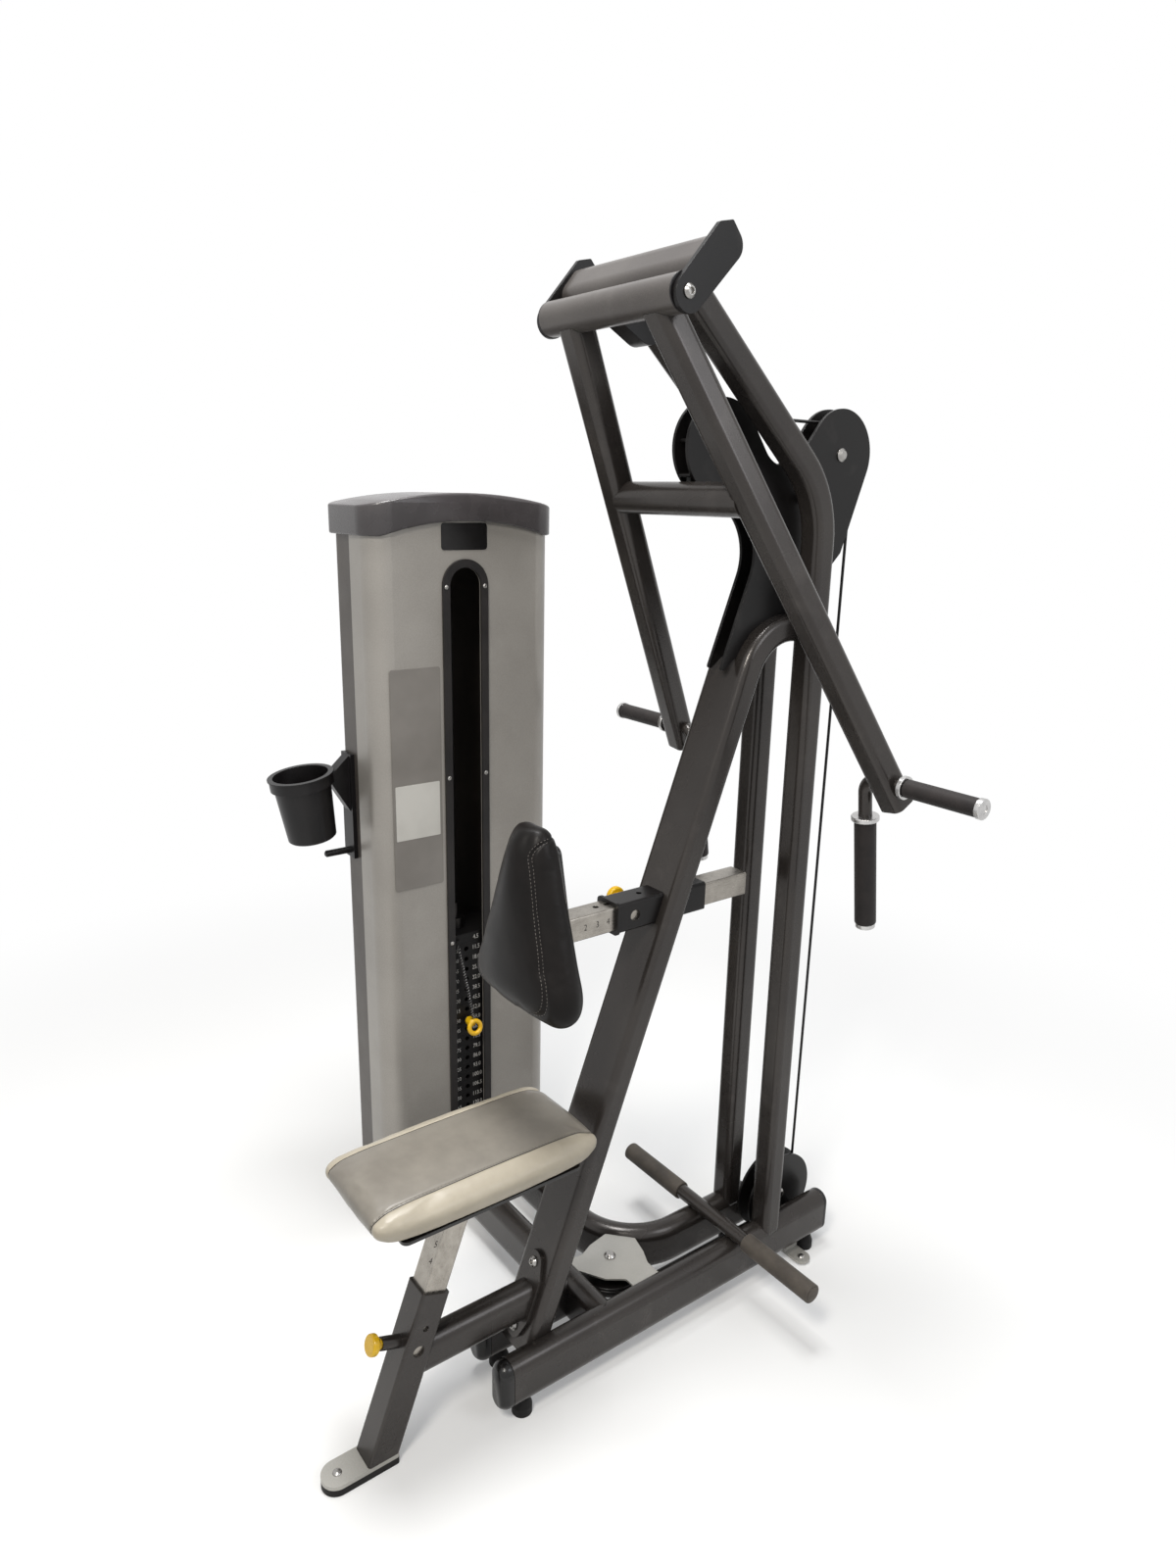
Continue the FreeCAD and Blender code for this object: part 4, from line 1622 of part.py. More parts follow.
cheek_out = S.pulley_width / 2 + S.cheek_gap + S.guard_thickness
TOP_SPOT = [at(top_mid_x, top_mid_y, S.top_axle_z), turn(0, 0, 1, top_angle)]
TOWER_SPOT = [at(tower_axle_x, tower_cable_y, S.base_axle_z)]
top_cheeks = cheeks("top_cheek", S.cheek_tail, S.rod_top_z - S.top_axle_z, TOP_SPOT)
low_cheeks = cheeks("low_cheek", S.base_axle_z - S.rail_lift, S.cheek_tail, TOWER_SPOT)
cross_face = S.cross_y + S.rail_width / 2
curve_face = S.curve_y - S.rail_width / 2
stay_near = rod("wheel_stay_near", S.tie_radius, tower_cable_y - cheek_out - cross_face,
                at(tower_axle_x, cross_face, rail_mid_z), TO_FRONT)
stay_far = rod("wheel_stay_far", S.tie_radius, curve_face - tower_cable_y - cheek_out,
               at(tower_axle_x, tower_cable_y + cheek_out, rail_mid_z), TO_FRONT)
node(group("wheel_brackets", *BRACKETS, *top_cheeks, *low_cheeks, stay_near, stay_far))
BOLTS += [base_axle, base_nut, floor_axle]
for label, steps in (("top", TOP_WHEEL), ("tower", TOWER_WHEEL)):
    BOLTS.append(axle_bolt(f"axle_{label}", cheek_out, cheek_out, *steps))
    BOLTS.append(nut(f"nut_{label}", cheek_out, *steps))
node(group("frame_bolts", *BOLTS))

# Bare name plate and placard on the shell's face


def name_outline(sketch):
    rounded(sketch, S.stack_y, S.name_plate_z, S.name_plate_width, S.name_plate_height, S.plate_edge)


def placard_outline(sketch):
    rounded(sketch, S.placard_y, S.placard_z, S.placard_width, S.placard_height, S.plate_edge / 2)


node(group("face_plates", prism("name_plate", "YZ", -S.tower_front_x, S.sticker_thickness, name_outline),
           prism("placard", "YZ", -S.tower_front_x, S.sticker_thickness, placard_outline)))

# Cup holder on the tower's side
side_y = S.tower_y - half_width + S.seam_inset
cup_y = side_y - S.cup_reach
CUP = [at(-S.cup_x, cup_y, S.cup_rim_z), turn(1, 0, 0, S.cup_lean)]
band_out = S.cup_radius + S.cup_fit + S.band_wall
bracket_plate = box("bracket_plate", 2 * S.bracket_half, S.bracket_thickness, S.bracket_height,
                    at(-S.cup_x - S.bracket_half, side_y - S.bracket_thickness, S.bracket_low_z))


def gusset_outline(sketch):
    inner = side_y - S.bracket_thickness / 2
    belt(sketch, [(inner, S.cup_rim_z - S.gusset_depth, 0), (inner, S.cup_rim_z + S.gusset_rise, S.bracket_thickness / 4),
                  (cup_y + S.cup_radius, S.cup_rim_z - S.lip_thickness, 0),
                  (cup_y + S.cup_radius, S.cup_rim_z - S.band_height, 0)])


gusset = prism("gusset", "YZ", -S.cup_x - S.bracket_half * S.gusset_share,
               2 * S.bracket_half * S.gusset_share, gusset_outline)
band = rod("band", band_out, S.band_height, *CUP, at(0, 0, -S.band_height))
band_hole = doc.addObject("Part::Cone", "band_hole")
bind(band_hole, "Radius1", S.cup_base_radius + S.cup_fit)
bind(band_hole, "Radius2", S.cup_radius + S.cup_fit)
bind(band_hole, "Height", S.cup_height)
place(band_hole, *CUP, at(0, 0, -S.cup_height))
hook = turned("hook_peg", [(0, 0, 0), (S.hook_radius, 0, 0), (S.hook_radius, S.hook_reach - S.foam_edge, 0),
                           (S.hook_radius - S.foam_edge, S.hook_reach, 0), (0, S.hook_reach, 0)],
              at(-S.cup_x, side_y - S.bracket_thickness / 2, S.bracket_low_z + 2 * S.hook_radius), TO_BACK)
node(cut("cup_bracket", fuse("bracket_raw", bracket_plate, gusset, band, hook), band_hole))
cup_wall = S.cup_wall
cup_corners = [(0, -S.cup_height, 0), (S.cup_base_radius - S.foam_edge, -S.cup_height, 0),
               (S.cup_base_radius, S.foam_edge - S.cup_height, 0), (S.cup_radius, 0, 0),
               (S.cup_radius + S.cup_flange, 0, 0), (S.cup_radius + S.cup_flange, cup_wall, 0),
               (S.cup_radius - cup_wall, cup_wall, 0), (S.cup_base_radius - cup_wall, cup_wall - S.cup_height, 0),
               (0, cup_wall - S.cup_height, 0)]
node(turned("cup", cup_corners, *CUP))

# Curly lanyard from the top plate to the selector pin
wire = float(S.lanyard_radius)
coil = float(S.lanyard_coil)
plate_face_x = -float(S.stack_x) + float(S.plate_depth) / 2
eye_low_z = float(top_low_z) + float(S.plate_height) / 2 - float(S.eye_height) / 2
lanyard_top = Vec(plate_face_x + float(S.eye_reach) / 2, float(S.stack_y) - float(S.eye_offset), eye_low_z)
lanyard_low = Vec(plate_face_x + float(S.pin_shank) + float(S.pin_knob_height) / 2, float(S.stack_y),
                  float(pin_z) + float(S.pin_knob_radius) + float(S.lanyard_rest))
lanyard_eye = box("lanyard_eye", S.eye_reach, S.eye_width, S.eye_height,
                  at(-S.stack_x + S.plate_depth / 2, S.stack_y - S.eye_offset - S.eye_width / 2,
                     top_low_z + S.plate_height / 2 - S.eye_height / 2))
node(fuse("stack_top", top_plate, lanyard_eye))


def half_arc(a, heading, b):
    chord = b - a
    reach = chord.Length
    along = chord * (1 / reach)
    aside = heading - along * heading.dot(along)
    if aside.Length < reach * float(S.flatness_share):
        return Part.LineSegment(a, b).toShape()
    angle = math.atan2(aside.Length, heading.dot(along))
    middle = (a + b) * 0.5 + aside.normalize() * (reach / 2 * math.tan(angle / 2))
    return Part.Arc(a, middle, b).toShape()


def biarc(a, heading, b, arrival):
    step = b - a
    both = heading + arrival
    spread = 2 * (1 - heading.dot(arrival))
    if spread < float(S.flatness_share):
        reach = step.Length / 2
    else:
        reach = (-step.dot(both) + math.sqrt(step.dot(both) ** 2 + spread * step.dot(step))) / spread
    joint = (a + b) * 0.5 + (heading - arrival) * (reach / 2)
    first = half_arc(a, heading, joint)
    second = half_arc(b, arrival * -1, joint)
    second.reverse()
    return [first, second]


drop = lanyard_low - lanyard_top
axis_dir = Vec(drop)
axis_dir.normalize()
side_dir = axis_dir.cross(Vec(0, 1, 0)).normalize()
back_dir = axis_dir.cross(side_dir)
end_run = 2 * wire
curls = int(S.lanyard_curls)
lead = float(S.lanyard_lead)
coil_run = drop.Length - 2 * (end_run + lead)
rise_per_turn = coil_run / curls
stations = [(lanyard_top + axis_dir * end_run, axis_dir)]
speed = math.hypot(math.tau * coil, rise_per_turn)
for half_turn in range(2 * curls + 1):
    phase = math.pi * half_turn
    outward = side_dir * math.cos(phase) + back_dir * math.sin(phase)
    swing = back_dir * math.cos(phase) - side_dir * math.sin(phase)
    spot = lanyard_top + axis_dir * (end_run + lead + rise_per_turn * half_turn / 2) + outward * coil
    heading = (swing * (math.tau * coil) + axis_dir * rise_per_turn) * (1 / speed)
    stations.append((spot, heading))
stations.append((lanyard_low - axis_dir * end_run, axis_dir))
lanyard_edges = [straight(lanyard_top, stations[0][0])]
for (a, heading), (b, arrival) in zip(stations, stations[1:]):
    lanyard_edges += biarc(a, heading, b, arrival)
lanyard_edges.append(straight(stations[-1][0], lanyard_low))
lanyard_path = Part.Wire(lanyard_edges)
lanyard_profile = Part.Wire([Part.Circle(lanyard_top, axis_dir, wire).toShape()])
lanyard = doc.addObject("Part::Feature", "lanyard")
lanyard.Label = "lanyard"
lanyard.Shape = lanyard_path.makePipeShell([lanyard_profile], True, False)
node(lanyard)
turn_gap = math.hypot(rise_per_turn, 0) * math.cos(math.atan2(rise_per_turn, math.tau * coil)) - 2 * wire
print("lanyard least gap to itself", round(turn_gap, 2))
print("lanyard volume share", round(lanyard.Shape.Volume / (math.pi * wire ** 2 * lanyard_path.Length), 4))
print("cable volume share", round(cable.Shape.Volume / (math.pi * float(S.cable_radius) ** 2 * long_run.Length), 4))

# Recompute, check and write
doc.recompute()
for thing in doc.Objects:
    if "Invalid" in thing.State or "Error" in thing.State:
        raise RuntimeError(f"{thing.Name} {thing.Label} {thing.State}")
for piece in NODES:
    if piece.Shape.isNull() or not piece.Shape.isValid() or not piece.Shape.Solids:
        raise RuntimeError(f"{piece.Label} has no sound solid")
os.makedirs("parts", exist_ok=True)
for piece in NODES:
    piece.Shape.exportStep(f"parts/{piece.Label}.step")
print(len(NODES), "nodes", sum(len(piece.Shape.Solids) for piece in NODES), "solids")
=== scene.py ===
import bpy
import json
import math
from mathutils import Matrix, Vector
from mathutils.bvhtree import BVHTree

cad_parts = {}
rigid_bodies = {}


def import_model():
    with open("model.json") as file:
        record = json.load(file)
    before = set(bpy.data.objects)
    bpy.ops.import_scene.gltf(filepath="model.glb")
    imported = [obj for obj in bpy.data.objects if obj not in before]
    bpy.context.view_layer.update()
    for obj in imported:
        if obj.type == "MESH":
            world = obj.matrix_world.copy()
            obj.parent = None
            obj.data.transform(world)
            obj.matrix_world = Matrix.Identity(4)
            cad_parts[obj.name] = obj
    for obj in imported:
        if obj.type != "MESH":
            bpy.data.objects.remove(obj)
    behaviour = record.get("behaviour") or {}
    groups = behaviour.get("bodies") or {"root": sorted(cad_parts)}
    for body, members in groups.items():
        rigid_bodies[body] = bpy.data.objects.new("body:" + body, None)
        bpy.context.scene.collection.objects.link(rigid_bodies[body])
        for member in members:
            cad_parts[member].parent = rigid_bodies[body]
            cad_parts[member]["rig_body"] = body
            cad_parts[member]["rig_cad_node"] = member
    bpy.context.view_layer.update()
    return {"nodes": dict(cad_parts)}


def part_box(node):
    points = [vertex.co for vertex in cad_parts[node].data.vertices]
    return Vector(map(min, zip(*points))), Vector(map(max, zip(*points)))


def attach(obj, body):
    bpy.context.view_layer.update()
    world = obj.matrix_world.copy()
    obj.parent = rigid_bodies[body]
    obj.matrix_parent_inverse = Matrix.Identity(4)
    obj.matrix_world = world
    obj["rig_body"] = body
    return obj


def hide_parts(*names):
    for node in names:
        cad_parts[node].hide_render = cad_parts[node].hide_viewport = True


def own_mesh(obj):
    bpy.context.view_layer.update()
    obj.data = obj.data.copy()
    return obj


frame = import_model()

nodes = frame["nodes"]
mm = 0.001


# Shader helpers
def linearColour(hexText):
    parts = [int(hexText[i:i + 2], 16) / 255 for i in (1, 3, 5)]
    return tuple(p / 12.92 if p <= 0.04045 else ((p + 0.055) / 1.055) ** 2.4 for p in parts) + (1.0,)


def addNode(tree, kind, inputs=None, out=None, **settings):
    made = tree.nodes.new(kind)
    for key, value in settings.items():
        setattr(made, key, value)
    for key, value in (inputs or {}).items():
        if isinstance(value, bpy.types.NodeSocket):
            tree.links.new(value, made.inputs[key])
        else:
            made.inputs[key].default_value = value
    return made if out is None else made.outputs[out]


def startMaterial(name, roughness, metallic=0.0, **sockets):
    material = bpy.data.materials.new(name)
    material.use_nodes = True
    tree = material.node_tree
    shader = tree.nodes["Principled BSDF"]
    shader.inputs["Roughness"].default_value = roughness
    shader.inputs["Metallic"].default_value = metallic
    for key, value in sockets.items():
        shader.inputs[key.replace("_", " ")].default_value = value
    return material, tree, shader, addNode(tree, "ShaderNodeTexCoord", {}, "Object")


def tinted(tree, pattern, deep, light, low=0.35, high=0.65):
    # Shades one colour into the other where the pattern runs from low to high
    share = addNode(tree, "ShaderNodeMapRange", {"Value": pattern, "From Min": low, "From Max": high}, 0)
    return addNode(tree, "ShaderNodeMix", {0: share, 6: linearColour(deep), 7: linearColour(light)}, 2,
                   data_type="RGBA")


def finishSurface(tree, shader, colour, dulling, roughness, height, depth, strength, edge=0.0):
    # Joins the patterns to the shader; roughness is a range, and edge softens sharp corners in the shading
    tree.links.new(colour, shader.inputs["Base Color"])
    dull = addNode(tree, "ShaderNodeMapRange", {"Value": dulling, "From Min": 0.3, "From Max": 0.7,
                                                "To Min": roughness[0], "To Max": roughness[1]}, 0)
    tree.links.new(dull, shader.inputs["Roughness"])
    bump = addNode(tree, "ShaderNodeBump", {"Height": height, "Distance": depth, "Strength": strength})
    if edge:
        soft = addNode(tree, "ShaderNodeBevel", {"Radius": edge}, "Normal", samples=4)
        tree.links.new(soft, bump.inputs["Normal"])
    tree.links.new(bump.outputs["Normal"], shader.inputs["Normal"])


# Finishes, each made as the real surface is made; pattern sizes are in millimetres
paintValues = {"cloud": 180, "flake": 1.6, "scuff": 70, "rub": 60, "depth": 0.04, "scuffed": 0.3}
plasticValues = {"cloud": 90, "dust": 45}
metalValues = {"smear": 25, "depth": 0.02, "plated": "#141212"}
foamValues = {"bloom": 40}
vinylValues = {"wear": 70, "rub": 60, "depth": 0.035}


def powderCoat(name, deep, light, worn, metallic, rough, peel=2.5, edge=1.2, **sockets):
    # Baked powder paint: metal flake under a fine orange peel, duller in patches, with a few pale scuffs
    material, tree, shader, coords = startMaterial(name, rough, metallic, **sockets)
    cloud = addNode(tree, "ShaderNodeTexNoise", {"Vector": coords, "Scale": 1 / (paintValues["cloud"] * mm),
                                                 "Detail": 3}, "Fac")
    flake = addNode(tree, "ShaderNodeTexNoise", {"Vector": coords, "Scale": 1 / (paintValues["flake"] * mm),
                                                 "Detail": 1}, "Fac")
    tone = addNode(tree, "ShaderNodeMix", {0: 0.4, 2: cloud, 3: flake}, 0)
    colour = tinted(tree, tone, deep, light, 0.38, 0.62)
    scuff = addNode(tree, "ShaderNodeTexNoise", {"Vector": coords, "Scale": 1 / (paintValues["scuff"] * mm),
                                                 "Detail": 3}, "Fac")
    wear = addNode(tree, "ShaderNodeMapRange", {"Value": scuff, "From Min": 0.6, "From Max": 0.9,
                                                "To Max": paintValues["scuffed"]}, 0)
    colour = addNode(tree, "ShaderNodeMix", {0: wear, 6: colour, 7: linearColour(worn)}, 2, data_type="RGBA")
    rub = addNode(tree, "ShaderNodeTexNoise", {"Vector": coords, "Scale": 1 / (paintValues["rub"] * mm),
                                               "Detail": 2}, "Fac")
    skin = addNode(tree, "ShaderNodeTexNoise", {"Vector": coords, "Scale": 1 / (peel * mm),
                                                "Detail": 2}, "Fac")
    finishSurface(tree, shader, colour, rub, (rough - 0.02, rough + 0.04),
                  skin, paintValues["depth"] * mm, 0.6, edge * mm)
    return material


def mouldedPlastic(name, deep, light, rough, grain=1.0, depth=0.04, edge=0.8, level=0.3, **sockets):
    # Injection-moulded plastic: spark-eroded grain that spreads the highlight, with a thin film of dust
    material, tree, shader, coords = startMaterial(name, rough, 0.0, IOR=1.5, Specular_IOR_Level=level,
                                                   **sockets)
    cloud = addNode(tree, "ShaderNodeTexNoise", {"Vector": coords, "Scale": 1 / (plasticValues["cloud"] * mm),
                                                 "Detail": 3}, "Fac")
    dust = addNode(tree, "ShaderNodeTexNoise", {"Vector": coords, "Scale": 1 / (plasticValues["dust"] * mm),
                                                "Detail": 3}, "Fac")
    skin = addNode(tree, "ShaderNodeTexNoise", {"Vector": coords, "Scale": 1 / (grain * mm), "Detail": 3,
                                                "Roughness": 0.7}, "Fac")
    finishSurface(tree, shader, tinted(tree, cloud, deep, light), dust, (rough - 0.02, rough + 0.04), skin,
                  depth * mm, 0.7, edge * mm)
    return material


def brushedMetal(name, deep, light, rough, grain, pitch=0.5, edge=0.6, plateEnd=None):
    # Bare metal with fine lines along the way it was rolled; plateEnd is where its black plate stops
    material, tree, shader, coords = startMaterial(name, rough, 1.0)
    drawn = addNode(tree, "ShaderNodeMapping", {"Vector": coords, "Scale": grain}, "Vector")
    lines = addNode(tree, "ShaderNodeTexNoise", {"Vector": drawn, "Scale": 1 / (pitch * mm), "Detail": 2,
                                                 "Roughness": 0.6}, "Fac")
    smear = addNode(tree, "ShaderNodeTexNoise", {"Vector": coords, "Scale": 1 / (metalValues["smear"] * mm),
                                                 "Detail": 4, "Roughness": 0.6}, "Fac")
    tone = addNode(tree, "ShaderNodeMix", {0: 0.5, 2: lines, 3: smear}, 0)
    colour = tinted(tree, tone, deep, light)
    if plateEnd:
        axis, painted, bared = plateEnd
        along = addNode(tree, "ShaderNodeSeparateXYZ", {0: coords}, axis)
        bare = addNode(tree, "ShaderNodeMapRange", {"Value": along, "From Min": painted * mm,
                                                    "From Max": bared * mm}, 0)
        plated = linearColour(metalValues["plated"])
        colour = addNode(tree, "ShaderNodeMix", {0: bare, 6: plated, 7: colour}, 2, data_type="RGBA")
        tree.links.new(bare, shader.inputs["Metallic"])
    finishSurface(tree, shader, colour, lines, (rough - 0.08, rough + 0.12),
                  lines, metalValues["depth"] * mm, 0.6, edge * mm)
    return material


def rubberFoam(name, deep, light, rough, pore=0.8, depth=0.08):
    # Closed-cell foam or rubber: matt, with a pebbled skin and a dusty bloom
    material, tree, shader, coords = startMaterial(name, rough, 0.0, IOR=1.45, Specular_IOR_Level=0.25,
                                                   Sheen_Weight=0.06, Sheen_Roughness=0.5)
    cells = addNode(tree, "ShaderNodeTexVoronoi", {"Vector": coords, "Scale": 1 / (pore * mm)}, "Distance")
    bloom = addNode(tree, "ShaderNodeTexNoise", {"Vector": coords, "Scale": 1 / (foamValues["bloom"] * mm),
                                                 "Detail": 4, "Roughness": 0.6}, "Fac")
    finishSurface(tree, shader, tinted(tree, bloom, deep, light), bloom, (rough - 0.05, rough + 0.06), cells,
                  depth * mm, 0.5)
    return material


def startVinyl(name, level):
    material, tree, shader, coords = startMaterial(name, 0.42, 0.0, IOR=1.48, Specular_IOR_Level=level)
    wear = addNode(tree, "ShaderNodeTexNoise", {"Vector": coords, "Scale": 1 / (vinylValues["wear"] * mm),
                                                "Detail": 4, "Roughness": 0.6}, "Fac")
    return material, tree, shader, coords, wear


def finishVinyl(tree, shader, coords, colour, rough, grain):
    # Upholstery vinyl: a pressed leather grain of small pebbles, which mostly softens the shine
    pebble = addNode(tree, "ShaderNodeTexVoronoi", {"Vector": coords, "Scale": 1 / grain}, "Distance",
                     feature="SMOOTH_F1")
    crease = addNode(tree, "ShaderNodeTexNoise", {"Vector": coords, "Scale": 1 / (3.3 * grain),
                                                  "Detail": 3}, "Fac")
    skin = addNode(tree, "ShaderNodeMix", {0: 0.2, 2: pebble, 3: crease}, 0)
    rubbed = addNode(tree, "ShaderNodeTexNoise", {"Vector": coords, "Scale": 1 / (vinylValues["rub"] * mm),
                                                  "Detail": 3}, "Fac")
    finishSurface(tree, shader, colour, rubbed, (rough - 0.05, rough + 0.06),
                  skin, vinylValues["depth"] * mm, 0.5)


graphite = powderCoat("graphiteMetallicPaint", "#2f2b29", "#393532", "#625d59", metallic=0.35, rough=0.25)
# Painted highlight: a lighter copy of the frame paint on the head and pivot tubes stands in for the top light
# falling on them
graphiteToplitCopy = powderCoat("graphitePaintToplit", "#4b4745", "#595552", "#7d7875", metallic=0.4, rough=0.3)
blackPaint = powderCoat("blackPlatePaint", "#0d0c0c", "#141212", "#4a4745", metallic=0.0, rough=0.34,
                        peel=3.0, Specular_IOR_Level=0.25)
silverPaint = powderCoat("silverTowerPaint", "#918d87", "#9d9993", "#b0aca6", metallic=0.35, rough=0.34,
                         peel=3.0, edge=0.8)
darkSilver = powderCoat("towerBackPaint", "#45403c", "#504b46", "#6a655f", metallic=0.35, rough=0.4,
                        peel=3.0, edge=0.8)
palePaint = powderCoat("paleGreyPaint", "#a3a19b", "#b4b2ac", "#c9c7c2", metallic=0.3, rough=0.38, edge=0.8)
stackPaint = powderCoat("blackStackPaint", "#0a0909", "#100f0f", "#2a2827", metallic=0.0, rough=0.4, peel=1.6,
                        Specular_IOR_Level=0.2)
capPlastic = mouldedPlastic("greyCapAbs", "#3c393a", "#474344", 0.26, grain=1.2, depth=0.03, edge=1.5,
                            level=0.5)
bezelPlastic = mouldedPlastic("bezelAbs", "#1c1a1a", "#262322", 0.38)
blackPlastic = mouldedPlastic("blackPolypropylene", "#0d0c0d", "#141213", 0.36)
plugPlastic = mouldedPlastic("tubePlugPlastic", "#0b0a0a", "#131111", 0.24, grain=1.4, depth=0.03, edge=1.5,
                             level=0.4)
wheelPlastic = mouldedPlastic("nylonWheel", "#0e0d0d", "#171515", 0.36)
yellowPlastic = mouldedPlastic("yellowKnobPlastic", "#d3a408", "#e6bc16", 0.25, grain=2.0, depth=0.03,
                               edge=0.6, level=0.5)
cableSheath = mouldedPlastic("blackCableSheath", "#0e0d0d", "#161414", 0.3, grain=0.8)
curlyNylon = mouldedPlastic("glossyLanyardNylon", "#2c2a2a", "#3b3838", 0.12, grain=0.8, depth=0.01, edge=0.0,
                            level=0.8, Coat_Weight=0.8)
platePlastic = mouldedPlastic("blackNamePlateAbs", "#0d0c0c", "#131111", 0.22, grain=1.2, depth=0.02,
                              level=0.4)
placardFilm = mouldedPlastic("greyPlacardFilm", "#75716c", "#7e7a75", 0.32, grain=2.0, depth=0.02, edge=0.4,
                             level=0.4)
panelFilm = mouldedPlastic("paleFilmPanel", "#b9b7b1", "#c3c1bb", 0.4, grain=2.0, depth=0.01, edge=0.2)
whiteInk = mouldedPlastic("whiteScreenInk", "#b5b3af", "#c6c4c0", 0.5, depth=0.01, edge=0.0, level=0.2)
stampInk = mouldedPlastic("darkStampInk", "#1c1a18", "#292623", 0.5, depth=0.01, edge=0.0, level=0.2)
chestThread = mouldedPlastic("greyPolyesterThread", "#75706c", "#86817c", 0.6, grain=0.5, depth=0.01,
                             edge=0.0, level=0.2)
seatThread = mouldedPlastic("taupePolyesterThread", "#5d5850", "#6b665c", 0.6, grain=0.5, depth=0.01,
                            edge=0.0, level=0.2)
gripRubber = rubberFoam("handGripRubber", "#1d1a1a", "#292524", 0.6)
footFoam = rubberFoam("footGripFoam", "#4a4540", "#5a544d", 0.64, pore=1.0)
feetRubber = rubberFoam("footRubber", "#0e0d0d", "#161414", 0.7, pore=1.2)
chestSteel = brushedMetal("brushedChestPostSteel", "#8d8881", "#aaa59d", 0.3, grain=(1.0, 0.02, 1.0),
                          plateEnd=("Y", 419.5, 420.5))
seatSteel = brushedMetal("brushedSeatPostSteel", "#8d8881", "#aaa59d", 0.3, grain=(1.0, 0.06, 0.03),
                         plateEnd=("Z", 526.5, 525.5))
boltSteel = brushedMetal("zincBoltSteel", "#8d8b88", "#a8a6a3", 0.28, grain=(1.0, 1.0, 1.0), pitch=1.5)
darkSteel = brushedMetal("blackenedStemSteel", "#2b2a29", "#3a3837", 0.4, grain=(1.0, 1.0, 0.05), pitch=1.0)
chromeRod = brushedMetal("chromedGuideRod", "#7d7d7f", "#949496", 0.16, grain=(1.0, 1.0, 0.02), pitch=1.0)
ringAluminium = brushedMetal("turnedAluminium", "#b5b4b3", "#cdcccb", 0.28, grain=(1.0, 0.05, 0.05),
                             pitch=0.7)

dressing = {
    graphite: ["rail_right", "front_cross_tube", "rail_left_stub", "curved_tube_left", "foot_bar",
               "upright_right", "upright_left", "incline_tube", "seat_sleeve", "seat_arm", "arm_right",
               "arm_left", "arm_crossbar", "handle_bars"],
    graphiteToplitCopy: ["head_cross_tube", "pivot_tube"],
    blackPaint: ["head_plates", "chest_sleeve", "pulley_plates", "pulley_ties", "arm_lugs", "wheel_brackets"],
    silverPaint: ["tower_shell"],
    darkSilver: ["tower_back"],
    palePaint: ["floor_plates", "cover_plate"],
    capPlastic: ["tower_cap"],
    blackPlastic: ["cup_bracket", "cup", "pivot_bearings"],
    plugPlastic: ["rail_caps"],
    wheelPlastic: ["pulley_front", "pulley_rear", "pulley_base", "pulley_floor", "pulley_tower_low",
                   "pulley_tower_top"],
    yellowPlastic: ["chest_pin_knob", "seat_pin_knob", "selector_pin"],
    gripRubber: ["hand_grips"],
    footFoam: ["foot_grips"],
    feetRubber: ["rubber_pads"],
    chestSteel: ["chest_post"],
    seatSteel: ["seat_post"],
    boltSteel: ["frame_bolts", "pivot_shaft"],
    darkSteel: ["stack_stem"],
    chromeRod: ["tower_frame"],
    ringAluminium: ["handle_rings"],
    cableSheath: ["cable", "lift_cable"],
    stackPaint: ["stack_lower", "stack_lifted", "stack_top"],
    bezelPlastic: ["window_bezel"],
    placardFilm: ["face_plates"],
}
for material, names in dressing.items():
    for name in names:
        mesh = nodes[name].data
        if not mesh.materials:
            mesh.materials.append(material)
        for index in range(len(mesh.materials)):
            mesh.materials[index] = material
print("stage: materials on the carried-over pieces")


# Making and shaping
def clearSelection():
    if bpy.context.object and bpy.context.object.mode != "OBJECT":
        bpy.ops.object.mode_set(mode="OBJECT")
    bpy.ops.object.select_all(action="DESELECT")


def pick(piece):
    clearSelection()
    piece.select_set(True)
    bpy.context.view_layer.objects.active = piece


def newPiece(maker, spot=(0, 0, 0), **settings):
    # spot is in millimetres
    clearSelection()
    maker(location=[v * mm for v in spot], **settings)
    return bpy.context.object


def settle(piece, name, material, body, slotName, *replaced):
    pick(piece)
    bpy.ops.object.transform_apply(location=True, rotation=True, scale=True)
    piece.name = name
    piece.data.materials.clear()
    piece.data.materials.append(material)
    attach(piece, body)
    if replaced:
        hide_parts(*replaced)
    return piece


def smoothBelow(degrees):
    bpy.ops.object.shade_smooth_by_angle(angle=math.radians(degrees))


def useModifier(piece, kind, **settings):
    pick(piece)
    made = piece.modifiers.new(kind.title(), kind)
    for key, value in settings.items():
        setattr(made, key, value)
    bpy.ops.object.modifier_apply(modifier=made.name)


def editAll(piece, operator, **settings):
    # One mesh operator on the whole piece
    pick(piece)
    bpy.ops.object.mode_set(mode="EDIT")
    bpy.ops.mesh.select_all(action="SELECT")
    operator(**settings)
    bpy.ops.object.mode_set(mode="OBJECT")


def joined(pieces):
    clearSelection()
    for piece in pieces:
        piece.select_set(True)
    bpy.context.view_layer.objects.active = pieces[0]
    bpy.ops.object.join()
    return bpy.context.object


def copyOf(node, name):
    piece = nodes[node].copy()
    piece.data = nodes[node].data.copy()
    piece.name = name
    piece.parent = None
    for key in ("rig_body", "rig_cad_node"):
        if key in piece:
            del piece[key]
    bpy.context.scene.collection.objects.link(piece)
    editAll(piece, bpy.ops.mesh.remove_doubles, threshold=0.05 * mm)
    return piece


swellValues = {"pressure": 4.0, "frames": 20}


